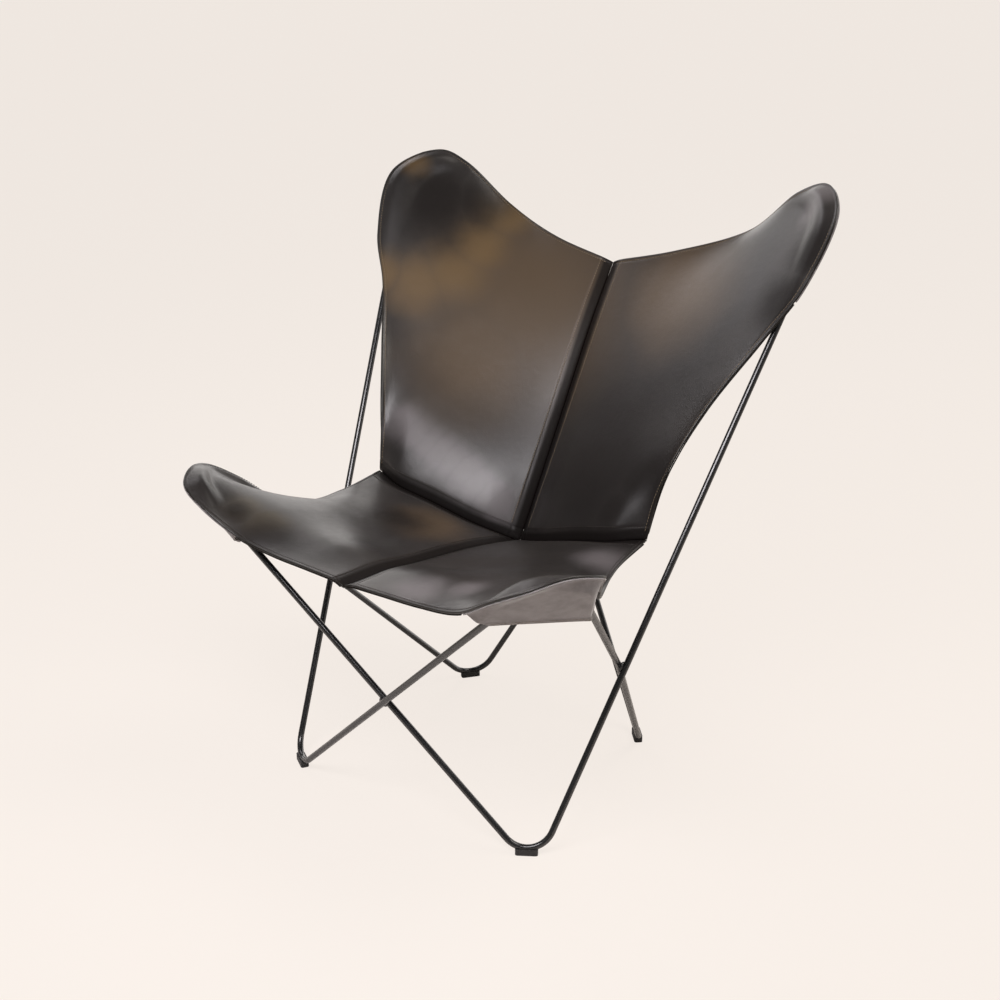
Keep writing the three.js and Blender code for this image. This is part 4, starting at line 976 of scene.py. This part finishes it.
pockets = {}
for (part, side), panel in panels.items():
    bend = panel["bend"]
    panel["free"] = free_edge(panel)
    panel["cuts"] = split_edge(panel["free"], bend, OPENINGS[part])
    grid, normal = pocket_grid(panel["free"], *panel["cuts"][:2], bend, OPENINGS[part])
    normals = normals_of(grid, grid.mean(axis=(0, 1)) + normal)
    hem = np.clip((HEM_WIDTH - distance_to(grid, grid[-1])) / HEM_RAMP, 0, 1)
    back = -LINING_HALF - HEM_STEP * hem
    points, faces, source = shell(grid, normals, LINING_HALF, back)
    name = f"pocket_{'rear' if part == 'back' else 'front'}_{side}"
    piece = mesh_piece("hide_" + name, points, faces,
                       edge_mm=distance_to(grid, grid[0]).ravel()[source] / MM)
    place_piece(piece, suede, "pocket_leather", name)
    pockets[part, side] = dict(piece=piece, grid=grid, normals=normals, area=sheet_area(grid))
    print(piece.name, "area", round(sheet_area(grid), 4))

# %% [markdown]
# ## Strips behind the edges and seams
# Strips of thin leather are sewn behind the sling so that it doesn't stretch: 12 mm wide behind
# each free edge and 30 mm wide behind each seam. The panel's own faces could be copied and pulled
# back, but a strip has square ends and a straight inner edge. So each is a narrow grid along its
# line, and it narrows where it meets a corner, where three of them would cross.

# %% Strips
STRIP_HALF, STRIP_DEPTH, STRIP_STEPS = 1 * MM, HALF + LAYER_GAP + 1 * MM, 90
EDGE_STRIP, SEAM_STRIP, SEAM_STRIP_INNER = 12 * MM, 15 * MM, 3 * MM  # SEAM_STRIP is half of its width
EDGE_TAPER, SEAM_TAPER, EDGE_STRIP_END = 24 * MM, 30 * MM, 0.3
STRIP_CLEAR, SIDE_CLEAR, SEAM_START, SEAM_CLEAR = 4 * MM, 9 * MM, 20 * MM, 24 * MM
CROSS_START, CROSS_CLEAR, CROSS_END = 1 * MM, 3 * MM, 0.14
UNPAINTED = 10.0  # millimetres from an edge where its paint has ended


def edge_strip(name, edge, start, stop):
    """A strip from an edge inward, behind the panel. It narrows over its last 24 mm."""
    where = np.linspace(start, stop, STRIP_STEPS)
    line = at_run(edge, where)
    p, n, e = line[:, :3], unit(line[:, 3:6]), unit(line[:, 6:9])
    taper = EDGE_STRIP_END + (1 - EDGE_STRIP_END) * smooth_step((stop - where) / EDGE_TAPER)
    w = np.linspace(0, EDGE_STRIP, 7)[:, None, None] * taper[:, None]
    grid = p - e * w - n * STRIP_DEPTH
    normals = np.broadcast_to(n, grid.shape)
    points, faces, source = shell(grid, normals, STRIP_HALF, -STRIP_HALF, 4)
    piece = mesh_piece("tape_" + name, points, faces, edge_mm=w[..., 0].ravel()[source] / MM)
    return place_piece(piece, hide, "leather", name)


def seam_strip(name, a, b, start, clear, narrow=1.0):
    """A strip over both panels behind a seam, whose last end has that share of its width.

    a and b hold each panel's seam points, its normals there and the directions into it.
    """
    stop = runs(a[:, :3])[-1] - clear
    lines = [at_run(line, np.linspace(start, stop, STRIP_STEPS)) for line in (a, b)]
    (pa, na, ia), (pb, nb, ib) = ([m[:, :3], unit(m[:, 3:6]), unit(m[:, 6:9])] for m in lines)
    middle = unit(na + nb)
    mitre = 1 / np.sum(middle * na, axis=1, keepdims=True)
    taper = narrow + (1 - narrow) * smooth_step(np.linspace(stop - start, 0, STRIP_STEPS) / SEAM_TAPER)
    w = np.linspace(SEAM_STRIP, SEAM_STRIP_INNER, 5)[:, None, None] * taper[:, None]
    under = ((pa + pb) / 2 - middle * STRIP_DEPTH * mitre)[None]
    grid = np.concatenate([pa + ia * w - na * STRIP_DEPTH, under, (pb + ib * w - nb * STRIP_DEPTH)[::-1]])
    normals = np.concatenate([np.repeat(na[None], len(w), axis=0), middle[None],
                              np.repeat(nb[None], len(w), axis=0)])
    points, faces, source = shell(grid, normals, STRIP_HALF, -STRIP_HALF, 4)
    piece = mesh_piece("tape_" + name, points, faces, edge_mm=np.full(len(points), UNPAINTED))
    return place_piece(piece, hide, "leather", name)


def seam_side(panel, along_row):
    """Seam points, normals and directions into the panel, for its first row or its first column."""
    grid, normals = panel["grid"], panel["normals"]
    if not along_row:
        grid, normals = grid.transpose(1, 0, 2), normals.transpose(1, 0, 2)
    return np.concatenate([grid[0], normals[0], unit(grid[12] - grid[0])], axis=1)


for (part, side), panel in panels.items():
    first, second, total = panel["cuts"]
    names = ("top", "back_side") if part == "back" else ("front", "seat_side")
    ends = ((STRIP_CLEAR, first - STRIP_CLEAR), (second + STRIP_CLEAR, total - SIDE_CLEAR))
    panel["tapes"] = [edge_strip(f"strip_{name}_{side}", panel["free"], *pair)
                      for name, pair in zip(names, ends)]
for part in ("back", "seat"):
    a, b = (seam_side(panels[part, side], False) for side in ("left", "right"))
    panels[part, "right"]["tapes"].append(seam_strip(f"strip_{part}_centre", a, b, SEAM_START, SEAM_CLEAR))
for side in ("right", "left"):
    a, b = (seam_side(panels[part, side], True) for part in ("back", "seat"))
    panels["seat", side]["tapes"].append(
        seam_strip(f"strip_cross_{side}", a, b, CROSS_START, CROSS_CLEAR, CROSS_END))
print("strips:", sum(len(p["tapes"]) for p in panels.values()))

# %% [markdown]
# ## Stitches
# The leather is sewn with thick waxed thread: tan on the back and the pockets, dark elsewhere. A
# bump could draw the rows, but stitches stand out of the leather and cast shadows. So every stitch
# is a small lens lying on the leather, 3.5 mm long, with 4.6 mm from one to the next, and all the
# stitches of a row are one mesh.

# %% Stitches
STITCH_STEP, STITCH_LENGTH, THREAD, SUNK = 4.6 * MM, 3.5 * MM, 0.45 * MM, 0.1 * MM
POCKET_ROWS, POCKET_LIFT, ROW_ENDS = (4 * MM, 9 * MM), 0.65 * MM, 8 * MM
SIDES, RINGS = 6, 6


def stitches(name, line, normal, slot, yarn):
    """One mesh of all stitches along a line. Each is a lens.

    Its half width is 0.45 mm x (1 - x^4)^(1/2), x from -1 to 1 along it, and never under a third of that.
    """
    total = runs(line)[-1]
    where = np.arange(STITCH_STEP, total - STITCH_STEP / 2, STITCH_STEP)
    p = at_run(np.concatenate([line, normal], axis=1), where)
    t = unit(at_run(line, where + 0.5 * MM) - at_run(line, where - 0.5 * MM))
    n = unit(p[:, 3:])
    b = np.cross(t, n)
    a = np.linspace(0, 2 * math.pi, SIDES + 1)[:-1][None, :]
    x = np.linspace(-1, 1, RINGS)[:, None]
    width = THREAD * np.sqrt(np.maximum(1 - x**4, 0.12))
    along = np.broadcast_to(x * STITCH_LENGTH / 2, (RINGS, SIDES))
    u, v, w = (k.reshape(-1, 1) for k in (along, width * np.cos(a), width * np.sin(a)))
    points = p[:, None, :3] + u * t[:, None] + v * b[:, None] + w * n[:, None]
    caps = np.array([[0, 1, 2, 3], [0, 3, 4, 5], [33, 32, 31, 30], [35, 34, 33, 30]])
    one = np.vstack([quads(np.arange(RINGS * SIDES).reshape(RINGS, SIDES), closed=True), caps])
    faces = (one[None] + RINGS * SIDES * np.arange(len(where))[:, None, None]).reshape(-1, 4)
    piece = mesh_piece(name, points.reshape(-1, 3), faces)
    return place_piece(piece, yarn, slot)


SEWN_ROW = int(np.argmin(np.abs(SEAM_MARKS - SEAM_STITCH)))
for (part, side), panel in panels.items():
    both = np.concatenate([panel["grid"], panel["normals"]], axis=2)
    length = runs(panel["free"][:, :3])[-1]
    free = at_run(panel["free"], np.linspace(ROW_ENDS, length - ROW_ENDS, 500))
    edge = np.concatenate([free[:, :3] - unit(free[:, 6:9]) * EDGE_STITCH, unit(free[:, 3:6])], axis=1)
    rows = dict(centre=both[SEWN_ROW:-4, SEWN_ROW], cross=both[SEWN_ROW, SEWN_ROW:-4], edge=edge)
    panel["threads"] = []
    for key, row in rows.items():
        yarn = thread if part == "back" and key != "cross" else dark_thread
        line = row[:, :3] + row[:, 3:] * (HALF - SUNK)
        panel["threads"].append(stitches(f"thread_{key}_{part}_{side}", line, row[:, 3:], "leather", yarn))
for (part, side), item in pockets.items():
    item["threads"] = []
    both = np.concatenate([item["grid"], item["normals"]], axis=2)[::-1, 4:-4]
    for k, inside in enumerate(POCKET_ROWS):
        row = np.stack([at_run(column, [inside])[0] for column in both.transpose(1, 0, 2)])
        n = -unit(row[:, 3:])
        line = row[:, :3] + n * (LINING_HALF + POCKET_LIFT)
        item["threads"].append(
            stitches(f"thread_pocket_{part}_{side}_{k}", line, n, "pocket_leather", thread))
print("stitch lines:", sum(len(p["threads"]) for p in [*panels.values(), *pockets.values()]))

# %% [markdown]
# ## Sheets
# Leather is cut from flat sheets, so the area of each panel and pocket is printed here. The strips
# and threads are sewn to them.

# %% Sheets
for key, panel in panels.items():
    item = pockets[key]
print("sheets:", [round(item["area"], 4) for item in [*panels.values(), *pockets.values()]], "m2")

# %% [markdown]
# ## Studio
# The chair stands in a pale studio. A curved backdrop would do, but a wide floor and a world that
# the camera sees as pale give the same picture and keep the chair's shadow. The leather mirrors a
# dim room with one bright rear wall. Two narrow soft lamps draw the bright bands on the left back
# and the wings, and a large one above lights the whole.

# %% Studio
FLOOR_SIZE, FLOOR_DROP, FLOOR_GLOW = 120, 0.2 * MM, 0.88
ROOM, REAR_WALL = 0.22, 2.2


def floor_material():
    """Pale matt paper, slightly mottled. To the camera 0.88 of it glows, and the rest takes shadows."""
    material, tree, place = new_material("pale studio paper")
    mottle = noise(tree, place, 30, 3)
    base = ramp(tree, mottle, (0.3, "#f1e9e2"), (0.7, "#f3ebe4"))
    paper = add(tree, "ShaderNodeBsdfPrincipled", Base_Color=base, Roughness=0.95, Specular_IOR_Level=0.1)
    glow = add(tree, "ShaderNodeEmission", Color=colour("#f8f0e9"), Strength=1.0)
    seen = add(tree, "ShaderNodeLightPath").outputs["Is Camera Ray"]
    share = sums(tree, "MULTIPLY", seen, FLOOR_GLOW)
    both = add(tree, "ShaderNodeMixShader", i0=share, i1=paper.outputs[0], i2=glow.outputs[0])
    add(tree, "ShaderNodeOutputMaterial", Surface=both.outputs[0])
    return material


def studio_floor():
    """A square of paper whose middle is under the chair."""
    mesh = bpy.data.meshes.new("studio_floor")
    square = ((-1, -1), (1, -1), (1, 1), (-1, 1))
    corners = [(x * FLOOR_SIZE, y * FLOOR_SIZE, -FLOOR_DROP) for x, y in square]
    mesh.from_pydata(corners, [], [(0, 1, 2, 3)])
    item = bpy.data.objects.new("studio_floor", mesh)
    bpy.context.scene.collection.objects.link(item)
    mesh.materials.append(floor_material())
    return item


def lamp(name, location, towards, wide, high, energy, tint):
    """A soft rectangular lamp that shines from one place towards another."""
    data = bpy.data.lights.new(name, "AREA")
    data.shape, data.size, data.size_y = "RECTANGLE", wide, high
    data.energy, data.color = energy, colour(tint)[:3]
    item = bpy.data.objects.new(name, data)
    z = unit(np.array(location, dtype=float) - np.array(towards, dtype=float))
    x = unit(np.cross((0, 0, 1), z))
    y = np.cross(z, x)
    item.matrix_world = Matrix([[x[i], y[i], z[i], location[i]] for i in range(3)] + [[0, 0, 0, 1]])
    bpy.context.scene.collection.objects.link(item)
    return item


def sky(tree):
    """A dim room with a bright rear wall, 0.22 + 2.2 x rear x low, which the camera sees as pale paper.

    The wall is bright up to about 20 degrees above the floor.
    """
    way = add(tree, "ShaderNodeSeparateXYZ", Vector=add(tree, "ShaderNodeTexCoord").outputs["Generated"])
    rear = ramp(tree, way.outputs["Y"], (0.1, 0.0), (0.55, 1.0))
    low = ramp(tree, way.outputs["Z"], (0.28, 1.0), (0.45, 0.0))
    share = sums(tree, "MULTIPLY", rear, low)
    strength = sums(tree, "ADD", sums(tree, "MULTIPLY", share, REAR_WALL), ROOM)
    lit = add(tree, "ShaderNodeBackground", Color=colour("#f8f4f1"), Strength=strength)
    pale = add(tree, "ShaderNodeBackground", Color=colour("#f3ebe4"), Strength=1.0)
    seen = add(tree, "ShaderNodeLightPath").outputs["Is Camera Ray"]
    both = add(tree, "ShaderNodeMixShader", i0=seen, i1=lit.outputs[0], i2=pale.outputs[0])
    tree.links.new(both.outputs[0], tree.nodes["World Output"].inputs["Surface"])


studio_floor()
world = bpy.data.worlds.new("studio")
bpy.context.scene.world = world
world.use_nodes = True
sky(world.node_tree)
lamp("front_lamp", (0.16, -0.96, 1.34), (-0.12, 0.05, 0.42), 1.0, 0.4, 18.0, "#fbf7fa")
lamp("left_lamp", (-1.77, 0.456, 2.25), (0.19, 0.25, 0.715), 1.5, 0.5, 9.5, "#fbf6f8")
lamp("top_lamp", (1.5, 0.9, 3.4), (0, 0, 0.4), 1.8, 1.8, 56.0, "#fff8f0")
bpy.context.scene.view_settings.view_transform = "Standard"
